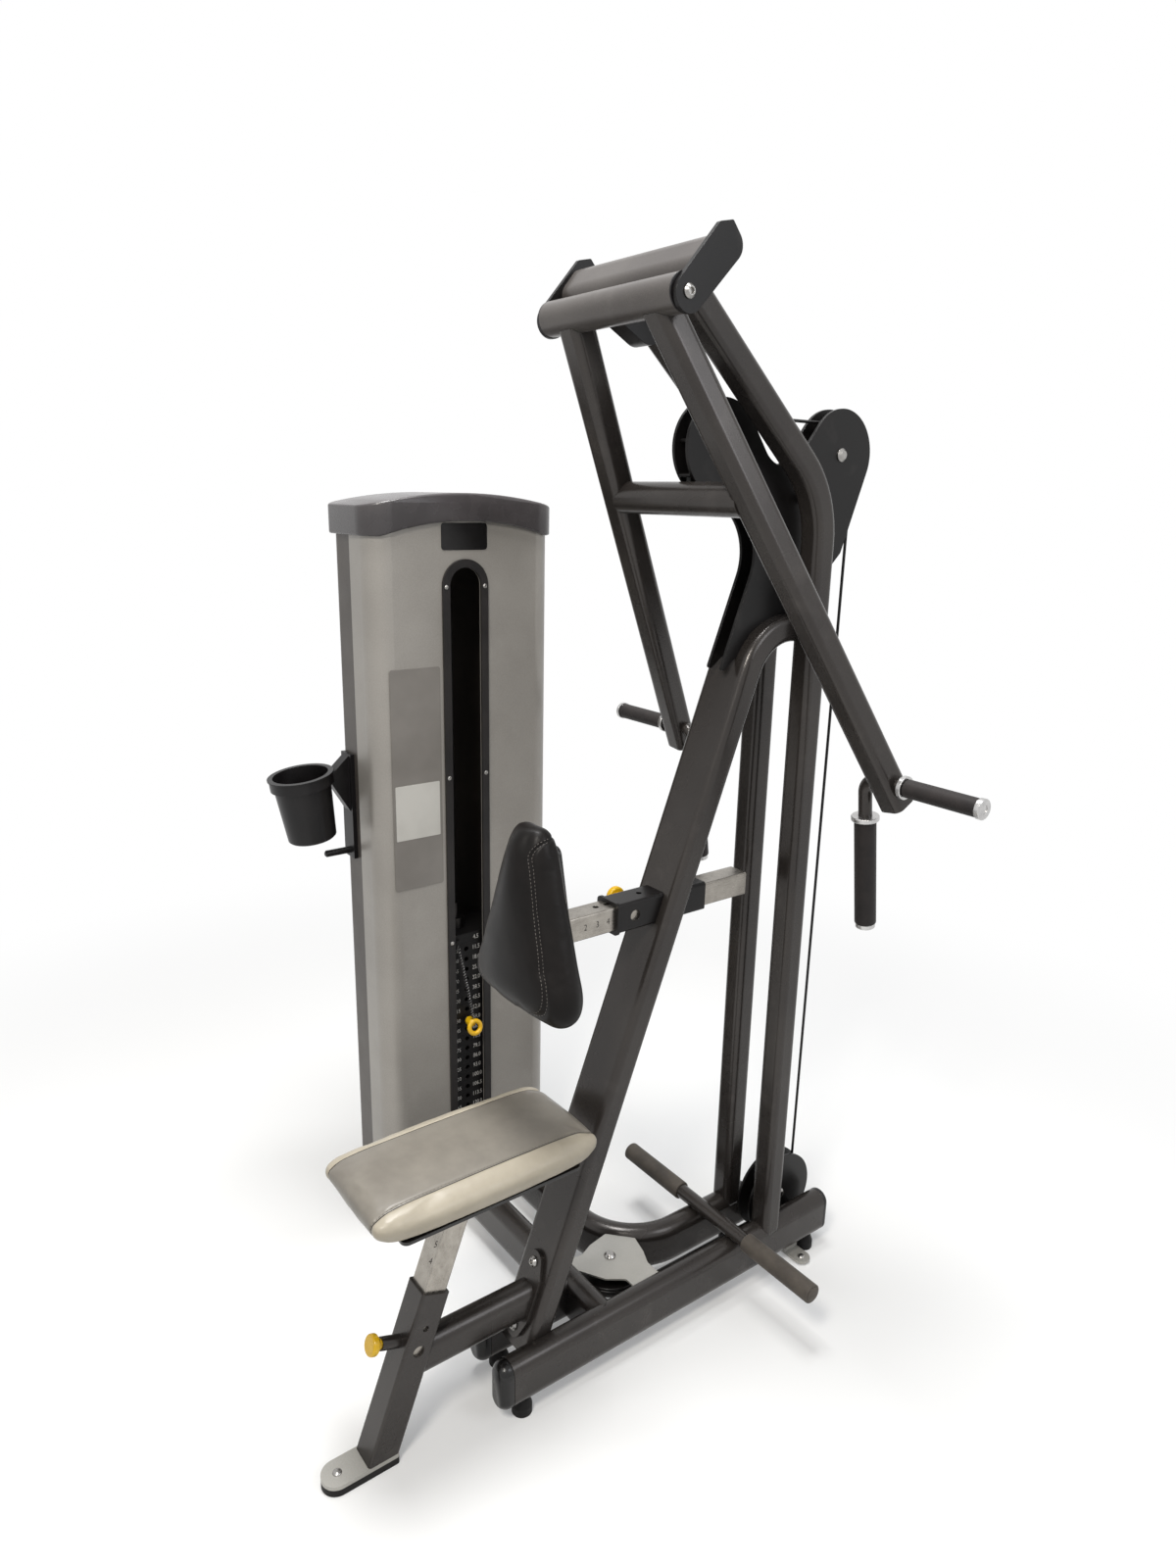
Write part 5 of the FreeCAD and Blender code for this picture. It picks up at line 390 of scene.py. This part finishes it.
def swell(piece, held, limit):
    # Blows the cover up from inside like foam pushing at its vinyl; the board side is held
    pick(piece)
    start = [v.co.copy() for v in piece.data.vertices]
    group = piece.vertex_groups.new(name="held")
    group.add([i for i, co in enumerate(start) if held(co)], 1.0, "REPLACE")
    cloth = piece.modifiers.new("Cloth", "CLOTH")
    cloth.settings.use_pressure = True
    cloth.settings.uniform_pressure_force = swellValues["pressure"]
    cloth.settings.effector_weights.gravity = 0.0
    cloth.settings.vertex_group_mass = "held"
    cloth.point_cache.frame_start = 1
    cloth.point_cache.frame_end = swellValues["frames"]
    for step in range(1, swellValues["frames"] + 1):
        bpy.context.scene.frame_set(step)
    bpy.ops.object.modifier_apply(modifier="Cloth")
    bpy.context.scene.frame_set(1)
    for vertex, first in zip(piece.data.vertices, start):
        step = vertex.co - first
        if step.length > limit:
            vertex.co = first + step * (limit / step.length)
    piece.vertex_groups.clear()


farOff = 1.0  # metres, past the reach of any seam


def pressSeam(piece, distanceOf, width, depth):
    # Pulls the skin in along a sewn line
    normals = [v.normal.copy() for v in piece.data.vertices]
    for vertex, normal in zip(piece.data.vertices, normals):
        away = distanceOf(vertex.co)
        if away < 3 * width:
            vertex.co -= normal * depth * math.exp(-(away / width) ** 2)


stitchValues = {"length": 4.2 * mm, "width": 0.9 * mm, "pitch": 6 * mm, "gap": 2.6 * mm,
                "longestStep": 12 * mm}


def sewStitches(name, pad, rows, material, body, slotName):
    # rows holds lists of (start, direction) rays that meet the cover along one line of thread
    tree = BVHTree.FromPolygons([v.co for v in pad.data.vertices], [p.vertices for p in pad.data.polygons])
    pattern = newPiece(bpy.ops.mesh.primitive_uv_sphere_add, segments=6, ring_count=4, radius=0.5)
    size = Matrix.Diagonal((stitchValues["width"], stitchValues["length"], stitchValues["width"], 1))
    placed = []
    for row in rows:
        hits = [tree.ray_cast(start, heading)[:2] for start, heading in row]
        hits = [(place, normal) for place, normal in hits if place]
        done, last = 0.0, None
        for (here, normal), (after, _) in zip(hits, hits[1:]):
            step = (after - here).length
            done += step
            due = last is None or done - last >= stitchValues["pitch"]
            if due and 0 < step < stitchValues["longestStep"]:
                last = done
                along = (after - here).normalized()
                across = along.cross(normal).normalized()
                up = across.cross(along)
                turn = Matrix((across, along, up)).transposed().to_4x4()
                stitch = pattern.copy()
                stitch.data = pattern.data.copy()
                stitch.matrix_world = Matrix.Translation(here) @ turn @ size
                bpy.context.scene.collection.objects.link(stitch)
                placed.append(stitch)
    bpy.data.objects.remove(pattern)
    settle(joined(placed), name, material, body, slotName)
    bpy.ops.object.shade_smooth()
    return len(placed)


# Curly lanyard between the top plate and the pin's ring: a route first, then the helix round it
lanyardValues = {"route": ((-507.5, 506.0, 710.15), (-503.0, 508.5, 690.0), (-496.0, 516.0, 640.0),
                           (-490.0, 527.0, 570.0), (-489.0, 534.0, 520.0)),
                 "coil": 3.6, "wire": 1.1, "curls": 26, "lead": 7.0, "tail": 2, "perTurn": 12, "length": 600}


def ropeCurve(name, points, radius):
    data = bpy.data.curves.new(name, "CURVE")
    data.dimensions = "3D"
    data.bevel_depth = radius
    data.bevel_resolution = 3
    data.use_fill_caps = True
    spline = data.splines.new("NURBS")
    spline.points.add(len(points) - 1)
    for point, co in zip(spline.points, points):
        point.co = (*co, 1.0)
    spline.order_u = 3
    spline.use_endpoint_u = True
    spline.resolution_u = 4 if radius else 40
    piece = bpy.data.objects.new(name, data)
    bpy.context.scene.collection.objects.link(piece)
    return piece


def helixPoints():
    route = ropeCurve("lanyardRoute", [Vector(p) * mm for p in lanyardValues["route"]], 0)
    line = [v.co.copy() for v in bpy.data.meshes.new_from_object(route).vertices]
    bpy.data.objects.remove(route)
    far = [0.0]
    for a, b in zip(line, line[1:]):
        far.append(far[-1] + (b - a).length)
    lead = lanyardValues["lead"] * mm
    run = far[-1] - 2 * lead
    tail = lanyardValues["tail"] * mm / far[-1]
    total = lanyardValues["curls"] * lanyardValues["perTurn"]
    points, place = [line[0], line[0].lerp(line[-1], tail)], 0
    for step in range(total + 1):
        want = lead + run * step / total
        while far[place + 1] < want:
            place += 1
        share = (want - far[place]) / (far[place + 1] - far[place])
        axis = (line[place + 1] - line[place]).normalized()
        side = axis.cross(Vector((0, 1, 0))).normalized()
        phase = math.tau * step / lanyardValues["perTurn"]
        outward = side * math.cos(phase) + axis.cross(side) * math.sin(phase)
        points.append(line[place].lerp(line[place + 1], share) + outward * lanyardValues["coil"] * mm)
    return points + [line[-1].lerp(line[0], tail), line[-1]]


lanyard = ropeCurve("curlyLanyard", helixPoints(), lanyardValues["wire"] * mm)
lanyard.data.materials.append(curlyNylon)
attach(lanyard, "stack")
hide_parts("lanyard")
print("stage: lanyard")

# Seat: foam on a board; a grey panel over the top and both ends, a cream panel down each side
# The seam colour is a painted shadow: a dark line along each seam
seatValues = {"voxel": 5 * mm, "halfWidth": 130 * mm, "top": 596 * mm, "swell": 4 * mm, "board": 9 * mm,
              "seamX": 85 * mm, "seamDepth": 2.2 * mm, "seamWidth": 3.0 * mm, "seamFrom": 6 * mm,
              "grain": 1.2 * mm, "grey": ("#746f67", "#7f7a71"), "cream": ("#a09888", "#aba393"),
              "seamPaintedShadow": "#231f1c", "rowCentre": 0.35, "rowFrom": -8, "rowSweep": 196, "rowSteps": 900}


def seatMaterial():
    material, tree, shader, coords, wear = startVinyl("seatVinyl", 0.4)
    aside = addNode(tree, "ShaderNodeSeparateXYZ", {0: coords}, "X")
    aside = addNode(tree, "ShaderNodeMath", {0: aside}, 0, operation="ABSOLUTE")
    seam = seatValues["seamX"]
    panel = addNode(tree, "ShaderNodeMapRange", {"Value": aside, "From Min": seam - 0.3 * mm,
                                                 "From Max": seam + 0.3 * mm}, 0)
    top = tinted(tree, wear, *seatValues["grey"])
    side = tinted(tree, wear, *seatValues["cream"])
    mixed = addNode(tree, "ShaderNodeMix", {0: panel, 6: top, 7: side}, 2, data_type="RGBA")
    # Painted shadow: a dark line along each seam stands in for the shade in the sewn crease
    gap = addNode(tree, "ShaderNodeMath", {0: aside, 1: seam}, 0, operation="SUBTRACT")
    gap = addNode(tree, "ShaderNodeMath", {0: gap}, 0, operation="ABSOLUTE")
    shade = addNode(tree, "ShaderNodeMapRange", {"Value": gap, "From Min": 0.6 * mm, "From Max": 1.6 * mm}, 0)
    seamShadowed = addNode(tree, "ShaderNodeMix", {0: shade, 6: linearColour(seatValues["seamPaintedShadow"]), 7: mixed}, 2,
                     data_type="RGBA")
    finishVinyl(tree, shader, coords, seamShadowed, 0.38, seatValues["grain"])
    return material


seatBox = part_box("seat_pad")
seatPad = copyOf("seat_pad", "seatCushion")
seatMiddle = (Vector(seatBox[0]) + Vector(seatBox[1])) / 2
seatFloor = seatBox[0][2]
room = seatValues["swell"] * 0.8
fullWidth, fullLength, fullHeight = [b - a for a, b in zip(*seatBox)]
for vertex in seatPad.data.vertices:
    vertex.co.x *= (seatValues["halfWidth"] - room) / (fullWidth / 2)
    vertex.co.y = seatMiddle.y + (vertex.co.y - seatMiddle.y) * (1 - 2 * room / fullLength)
    vertex.co.z = seatFloor + (vertex.co.z - seatFloor) * (seatValues["top"] - room - seatFloor) / fullHeight
useModifier(seatPad, "REMESH", mode="VOXEL", voxel_size=seatValues["voxel"], use_smooth_shade=True)
swell(seatPad, lambda co: co.z < seatFloor + seatValues["board"], seatValues["swell"])
useModifier(seatPad, "SMOOTH", factor=0.5, iterations=4)
useModifier(seatPad, "SUBSURF", levels=1, render_levels=1)
seamFloor = seatFloor + seatValues["seamFrom"]
pressSeam(seatPad, lambda co: abs(abs(co.x) - seatValues["seamX"]) if co.z > seamFloor else farOff,
          seatValues["seamWidth"], seatValues["seamDepth"])
settle(seatPad, "seatCushion", seatMaterial(), "seat", "seat_vinyl", "seat_pad")
bpy.ops.object.shade_smooth()

# Rays fan out from a low line inside the pad, over its end, top and other end
seatRows = []
for sign in (-1, 1):
    x = sign * (seatValues["seamX"] - stitchValues["gap"])
    low = Vector((x, seatMiddle.y, seatFloor + seatValues["rowCentre"] * fullHeight))
    turns = [math.radians(seatValues["rowFrom"] + seatValues["rowSweep"] * step / seatValues["rowSteps"])
             for step in range(seatValues["rowSteps"] + 1)]
    seatRows.append([(low, Vector((0, -math.cos(turn), math.sin(turn)))) for turn in turns])
made = sewStitches("seatStitches", seatPad, seatRows, seatThread, "seat", "seat_vinyl")
print("stage: seat cushion", len(seatPad.data.polygons), "faces,", made, "stitches")

# Chest pad: one panel runs up the face and over the top, a panel down each side, sewn with twin needles
chestValues = {"voxel": 5 * mm, "room": 3.5 * mm, "swell": 4 * mm, "board": 9 * mm, "seamDepth": 2.4 * mm,
               "seamWidth": 2.4 * mm, "seamBack": 17 * mm, "seamClear": 20 * mm, "crest": 34 * mm,
               "crestDrop": 22 * mm, "lean": 3.8, "grain": 1.4 * mm, "black": ("#0e0c0b", "#151211"),
               "rowFrom": 12 * mm, "rowSteps": 300, "crestSteps": 60, "rayStart": 0.4}


def chestMaterial():
    material, tree, shader, coords, wear = startVinyl("chestVinyl", 0.17)
    finishVinyl(tree, shader, coords, tinted(tree, wear, *chestValues["black"]), 0.38, chestValues["grain"])
    return material


chestPad = copyOf("chest_pad", "chestCushion")
chestLow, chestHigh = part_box("chest_pad")
chestMiddleZ = ((Vector(chestLow) + Vector(chestHigh)) / 2).z
reaches = (chestHigh[0], chestHigh[1] - chestLow[1], chestHigh[2] - chestMiddleZ)
shareX, shareY, shareZ = [1 - chestValues["room"] / reach for reach in reaches]
for vertex in chestPad.data.vertices:
    vertex.co.x *= shareX
    vertex.co.y = chestHigh[1] + (vertex.co.y - chestHigh[1]) * shareY
    vertex.co.z = chestMiddleZ + (vertex.co.z - chestMiddleZ) * shareZ
useModifier(chestPad, "REMESH", mode="VOXEL", voxel_size=chestValues["voxel"], use_smooth_shade=True)
swell(chestPad, lambda co: co.y > chestHigh[1] - chestValues["board"], chestValues["swell"])
useModifier(chestPad, "SMOOTH", factor=0.5, iterations=6)
useModifier(chestPad, "SUBSURF", levels=1, render_levels=1)
chestTop = chestHigh[2] - chestValues["crestDrop"]
crest = chestValues["crest"]


def chestFront(z):
    slope = math.tan(math.radians(chestValues["lean"]))
    return chestLow[1] + slope * (z - chestLow[2]) + chestValues["seamBack"]


def chestSeamDistance(co):
    # The line follows the front edge, then turns back over the top
    front = chestFront(co.z)
    if abs(co.x) < chestValues["seamClear"]:
        return farOff
    if co.z > chestTop - crest:
        reach = math.hypot(co.y - (front + crest), co.z - (chestTop - crest))
        return abs(reach - crest) if co.y < front + crest else abs(co.z - chestTop)
    return abs(co.y - front)


def chestRow(sign, aside):
    # Rays from the side at one line of thread, up the front edge and round the crest
    spots = []
    low, high = chestLow[2] + chestValues["rowFrom"], chestTop - crest
    for step in range(chestValues["rowSteps"] + 1):
        z = low + (high - low) * step / chestValues["rowSteps"]
        spots.append((chestFront(z) + aside, z))
    front, radius = chestFront(high), crest - aside
    for step in range(1, chestValues["crestSteps"] + 1):
        angle = math.radians(90 * step / chestValues["crestSteps"])
        spots.append((front + crest - radius * math.cos(angle), high + radius * math.sin(angle)))
    return [(Vector((sign * chestValues["rayStart"], y, z)), Vector((-sign, 0, 0))) for y, z in spots]


pressSeam(chestPad, chestSeamDistance, chestValues["seamWidth"], chestValues["seamDepth"])
settle(chestPad, "chestCushion", chestMaterial(), "chest", "chest_vinyl", "chest_pad")
bpy.ops.object.shade_smooth()
chestRows = [chestRow(sign, aside) for sign in (-1, 1)
             for aside in (-stitchValues["gap"], stitchValues["gap"])]
made = sewStitches("chestStitches", chestPad, chestRows, chestThread, "chest", "chest_vinyl")
print("stage: chest cushion", len(chestPad.data.polygons), "faces,", made, "stitches")


# Moulded caps with their sharp edges eased
def easedCopy(node, name, material, body, slotName, width):
    piece = copyOf(node, name)
    editAll(piece, bpy.ops.mesh.dissolve_limited, angle_limit=math.radians(1))
    useModifier(piece, "BEVEL", width=width, segments=3, limit_method="ANGLE", angle_limit=math.radians(40),
                use_clamp_overlap=True)
    settle(piece, name, material, body, slotName, node)
    smoothBelow(35)
    print("stage:", name, len(piece.data.polygons), "faces")


easedCopy("tower_cap", "towerCapEased", capPlastic, "frame", "cap_plastic", 4 * mm)
easedCopy("rail_caps", "railCapsEased", plugPlastic, "frame", "cap_plastic", 4 * mm)


# Bare plates on the tower's face: a small black one over the window and a tall grey one with a pale field
plateValues = {
    "namePlate": {"spot": (-499.5, 532, 1611), "size": (1.0, 108, 54), "corner": 7},
    "placard": {"spot": (-499.5, 412, 1109), "size": (1.0, 116, 479), "corner": 6},
    "placardField": {"spot": (-498.9, 412, 1042), "size": (0.4, 104, 120), "corner": 2},
}


def barePlate(name, material, *replaced):
    values = plateValues[name]
    piece = newPiece(bpy.ops.mesh.primitive_cube_add, values["spot"], size=1)
    piece.scale = [v * mm for v in values["size"]]
    bpy.ops.object.transform_apply(location=False, rotation=False, scale=True)
    bpy.ops.object.mode_set(mode="EDIT")
    bpy.ops.mesh.select_mode(type="EDGE")
    bpy.ops.mesh.select_all(action="DESELECT")
    bpy.ops.object.mode_set(mode="OBJECT")
    for edge in piece.data.edges:
        a, b = [piece.data.vertices[i].co for i in edge.vertices]
        edge.select = abs(a.x - b.x) > 0.1 * mm
    bpy.ops.object.mode_set(mode="EDIT")
    bpy.ops.mesh.bevel(offset=values["corner"] * mm, segments=5, affect="EDGES")
    bpy.ops.object.mode_set(mode="OBJECT")
    useModifier(piece, "BEVEL", width=0.15 * mm, segments=2, limit_method="ANGLE",
                angle_limit=math.radians(60))
    settle(piece, name, material, "frame", "bare_plate", *replaced)


barePlate("namePlate", platePlastic, "face_plates")
barePlate("placard", placardFilm, "face_plates")
barePlate("placardField", panelFilm)
print("stage: bare plates")

# Plain numerals: two weight scales on the stack, positions on the two posts
numeralValues = {"capShare": 0.7, "raised": 0.04 * mm, "curveSteps": 2}


def numeral(text, height, spot, lean=0.0, squeeze=0.85):
    piece = newPiece(bpy.ops.object.text_add)
    piece.data.body = text
    piece.data.size = height / numeralValues["capShare"]
    piece.data.extrude = numeralValues["raised"]
    piece.data.resolution_u = numeralValues["curveSteps"]
    piece.data.align_x = "CENTER"
    piece.data.align_y = "CENTER"
    bpy.ops.object.convert(target="MESH")
    piece = bpy.context.object
    upright = Matrix.Rotation(math.radians(90), 4, "X")
    facing = Matrix.Rotation(math.radians(90), 4, "Z")
    leaning = Matrix.Rotation(-math.radians(lean), 4, "X")
    piece.matrix_world = (Matrix.Translation(Vector(spot) * mm) @ leaning @ facing @ upright
                          @ Matrix.Diagonal((squeeze, 1, 1, 1)))
    return piece


scaleValues = {"face": -511.99, "topPlate": 714.15, "pitch": 25.4, "lifted": 9, "plates": 20, "left": 506,
               "right": 557.5, "leftHeight": 9.5 * mm, "rightHeight": 10.5 * mm, "rightSqueeze": 0.8,
               "firstPounds": 10, "stepPounds": 15, "kilosPerPound": 0.4536}
lifted, resting = [], []
for number in range(scaleValues["plates"]):
    z = scaleValues["topPlate"] - scaleValues["pitch"] * number
    group = lifted if number < scaleValues["lifted"] else resting
    pounds = scaleValues["firstPounds"] + scaleValues["stepPounds"] * number
    kilos = f"{round(pounds * scaleValues['kilosPerPound'] * 2) / 2:.1f}"
    group.append(numeral(kilos, scaleValues["rightHeight"], (scaleValues["face"], scaleValues["right"], z),
                         squeeze=scaleValues["rightSqueeze"]))
    if number:
        group.append(numeral(str(pounds), scaleValues["leftHeight"],
                             (scaleValues["face"], scaleValues["left"], z)))
settle(joined(lifted), "liftedNumerals", whiteInk, "stack", "bare_plate")
settle(joined(resting), "restingNumerals", whiteInk, "frame", "bare_plate")

postValues = {"chestY": (471, 498, 522), "chestZ": 948, "chestFirst": 2, "face": 23.4, "height": 12 * mm,
              "seatLow": 420, "seatPitch": 31.75, "seatLean": 20.3, "seatFirst": 4, "seatCount": 4}
marks = [numeral(str(postValues["chestFirst"] + i), postValues["height"],
                 (postValues["face"], y, postValues["chestZ"])) for i, y in enumerate(postValues["chestY"])]
settle(joined(marks), "chestPostNumerals", stampInk, "chest", "post_steel")
lean = math.radians(postValues["seatLean"])
marks = []
for number in range(postValues["seatCount"]):
    up = postValues["seatLow"] + postValues["seatPitch"] * number
    spot = (postValues["face"], up * math.sin(lean), up * math.cos(lean))
    marks.append(numeral(str(postValues["seatFirst"] + number), postValues["height"], spot,
                         postValues["seatLean"]))
settle(joined(marks), "seatPostNumerals", stampInk, "seat", "post_steel")
print("stage: numerals")

# Selector pin: steel shank, short boss and a pull ring that the lanyard is tied to
pinValues = {"axis": (532, 510.95), "shank": 5.3, "boss": 10, "bossFrom": -506, "bossTo": -487, "overlap": 1,
             "ring": (-483, 536, 501), "major": 14.5, "minor": 5.5, "tilt": 15}


def pinRod(start, end, radius, sides):
    return newPiece(bpy.ops.mesh.primitive_cylinder_add, ((start + end) / 2, *pinValues["axis"]),
                    vertices=sides, radius=radius * mm, depth=(end - start) * mm,
                    rotation=(0, math.radians(90), 0))


shank = pinRod(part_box("selector_pin")[0][0] / mm, pinValues["bossFrom"] + pinValues["overlap"],
               pinValues["shank"], 32)
useModifier(shank, "BEVEL", width=1.2 * mm, segments=3, limit_method="ANGLE")
settle(shank, "selectorShank", boltSteel, "pin", "bolt_steel", "selector_pin")
smoothBelow(35)
boss = pinRod(pinValues["bossFrom"], pinValues["bossTo"], pinValues["boss"], 40)
useModifier(boss, "BEVEL", width=2.5 * mm, segments=4, limit_method="ANGLE")
ring = newPiece(bpy.ops.mesh.primitive_torus_add, pinValues["ring"], major_radius=pinValues["major"] * mm,
                minor_radius=pinValues["minor"] * mm, major_segments=48, minor_segments=16,
                rotation=(0, math.radians(90 - pinValues["tilt"]), 0))
settle(joined([boss, ring]), "selectorHandle", yellowPlastic, "pin", "yellow_knob", "selector_pin")
smoothBelow(50)
print("stage: selector pin")

# Lift cable: a copy held by the frame, so its top stays at the pulley; it gets a mesh of its own
liftRun = settle(copyOf("lift_cable", "liftCableRun"), "liftCableRun", cableSheath, "frame", "cable_black",
                 "lift_cable")
smoothBelow(50)
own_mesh(liftRun)
print("stage: lift cable")

# Dome heads that close the floor plates' holes
anchorValues = {"spots": ((0, -36, 22), (94, 1062, 10)), "radius": 8.5, "dome": 0.45}
heads = []
for spot in anchorValues["spots"]:
    head = newPiece(bpy.ops.mesh.primitive_uv_sphere_add, spot, segments=24, ring_count=12,
                    radius=anchorValues["radius"] * mm)
    head.scale = (1, 1, anchorValues["dome"])
    bpy.ops.object.transform_apply(location=True, rotation=True, scale=True)
    editAll(head, bpy.ops.mesh.bisect, plane_co=[v * mm for v in spot], plane_no=(0, 0, 1), use_fill=True,
            clear_inner=True)
    heads.append(head)
settle(joined(heads), "floorBoltHeads", boltSteel, "frame", "bolt_steel")
smoothBelow(50)
print("stage: floor bolt heads")

# Floor, lamps and camera
studioValues = {"floorRadius": 5.0, "floorDrop": 0.5, "fadeMiddle": (-0.25, 0.5, 0), "fadeFrom": 0.9,
                "fadeTo": 2.8, "floorLift": 0.22, "floorColour": "#dcdcdb", "worldStrength": 0.3,
                "worldColour": "#f2f4f7"}
lampValues = {
    "keyLamp": {"spot": (1.4, -1.6, 3.6), "aim": (0, 0.4, 1.0), "size": 0.8, "power": 75,
                "colour": "#fffaf2"},
    "fillLamp": {"spot": (2.8, 1.6, 2.8), "aim": (0, 0.6, 1.0), "size": 1.6, "power": 25,
                 "colour": "#f6f9ff"},
    "topLamp": {"spot": (-0.2, 0.4, 4.2), "aim": (-0.1, 0.5, 0.0), "size": 1.4, "power": 140,
                "colour": "#ffffff"},
}


def seenRays(tree):
    # The light path, and 1 for camera and glossy rays
    path = addNode(tree, "ShaderNodeLightPath")
    return path, addNode(tree, "ShaderNodeMath", {0: path.outputs["Is Camera Ray"],
                                                  1: path.outputs["Is Glossy Ray"]}, 0, operation="MAXIMUM")


def studioFloorMaterial():
    # Pale matt floor that keeps the shadow and fades into the white background before its edge
    material, tree, shader, coords = startMaterial("paleStudioFloor", 0.7, Specular_IOR_Level=0.0)
    shader.inputs["Base Color"].default_value = linearColour(studioValues["floorColour"])
    seen = seenRays(tree)[1]
    centred = addNode(tree, "ShaderNodeVectorMath", {0: coords, 1: studioValues["fadeMiddle"]}, 0,
                      operation="SUBTRACT")
    away = addNode(tree, "ShaderNodeVectorMath", {0: centred}, "Value", operation="LENGTH")
    fade = addNode(tree, "ShaderNodeMapRange", {"Value": away, "From Min": studioValues["fadeFrom"],
                                                "From Max": studioValues["fadeTo"]}, 0,
                   interpolation_type="SMOOTHSTEP")
    lift = addNode(tree, "ShaderNodeMath", {0: seen, 1: studioValues["floorLift"]}, 0, operation="MULTIPLY")
    glow = addNode(tree, "ShaderNodeEmission", {"Strength": lift}, 0)
    lifted = addNode(tree, "ShaderNodeAddShader", {0: shader.outputs[0], 1: glow}, 0)
    white = addNode(tree, "ShaderNodeEmission", {"Strength": seen}, 0)
    faded = addNode(tree, "ShaderNodeMath", {0: fade, 1: seen}, 0, operation="MULTIPLY")
    both = addNode(tree, "ShaderNodeMixShader", {0: faded, 1: lifted, 2: white}, 0)
    tree.links.new(both, tree.nodes["Material Output"].inputs["Surface"])
    return material


def studio():
    floor = newPiece(bpy.ops.mesh.primitive_circle_add, (0, 0, -studioValues["floorDrop"]), vertices=96,
                     radius=studioValues["floorRadius"], fill_type="NGON")
    floor.name = "studioFloor"
    floor.data.materials.append(studioFloorMaterial())
    world = bpy.context.scene.world or bpy.data.worlds.new("studioWorld")
    bpy.context.scene.world = world
    world.use_nodes = True
    tree = world.node_tree
    tree.nodes.clear()
    path, seen = seenRays(tree)
    seen = addNode(tree, "ShaderNodeMath", {0: seen, 1: path.outputs["Is Transmission Ray"]}, 0,
                   operation="MAXIMUM")
    lit = addNode(tree, "ShaderNodeBackground", {"Color": linearColour(studioValues["worldColour"]),
                                                 "Strength": studioValues["worldStrength"]}, 0)
    shown = addNode(tree, "ShaderNodeBackground", {"Color": (1, 1, 1, 1), "Strength": 1.0}, 0)
    both = addNode(tree, "ShaderNodeMixShader", {0: seen, 1: lit, 2: shown}, 0)
    addNode(tree, "ShaderNodeOutputWorld", {"Surface": both})
    for name, values in lampValues.items():
        lamp = bpy.data.lights.new(name, "AREA")
        lamp.shape = "DISK"
        lamp.size = values["size"]
        lamp.energy = values["power"]
        lamp.color = linearColour(values["colour"])[:3]
        holder = bpy.data.objects.new(name, lamp)
        bpy.context.scene.collection.objects.link(holder)
        holder.location = values["spot"]
        heading = Vector(values["aim"]) - Vector(values["spot"])
        holder.rotation_euler = heading.to_track_quat("-Z", "Y").to_euler()


# spot in metres, angles in degrees, focal as a share of the picture's height
cameraValues = {"spot": (1.4002, -0.5643, 1.6942), "turn": 53.1, "tip": -15.5, "roll": 1.2,
                "focal": 1056.1 / 1600, "sensor": 36}


def photoCamera():
    turn, tip, roll = [math.radians(cameraValues[key]) for key in ("turn", "tip", "roll")]
    forward = Vector((-math.sin(turn) * math.cos(tip), math.cos(turn) * math.cos(tip), math.sin(tip)))
    level = Vector((math.cos(turn), math.sin(turn), 0))
    upright = level.cross(forward)
    right = level * math.cos(roll) + upright * math.sin(roll)
    up = upright * math.cos(roll) - level * math.sin(roll)
    data = bpy.data.cameras.new("photoCamera")
    data.sensor_fit = "VERTICAL"
    data.sensor_height = cameraValues["sensor"]
    data.lens = cameraValues["sensor"] * cameraValues["focal"]
    camera = bpy.data.objects.new("photoCamera", data)
    bpy.context.scene.collection.objects.link(camera)
    camera.matrix_world = Matrix((right, up, -forward)).transposed().to_4x4()
    camera.location = cameraValues["spot"]
    bpy.context.scene.camera = camera


studio()
photoCamera()
bpy.context.scene.view_settings.view_transform = "Standard"
print("stage: studio and camera")
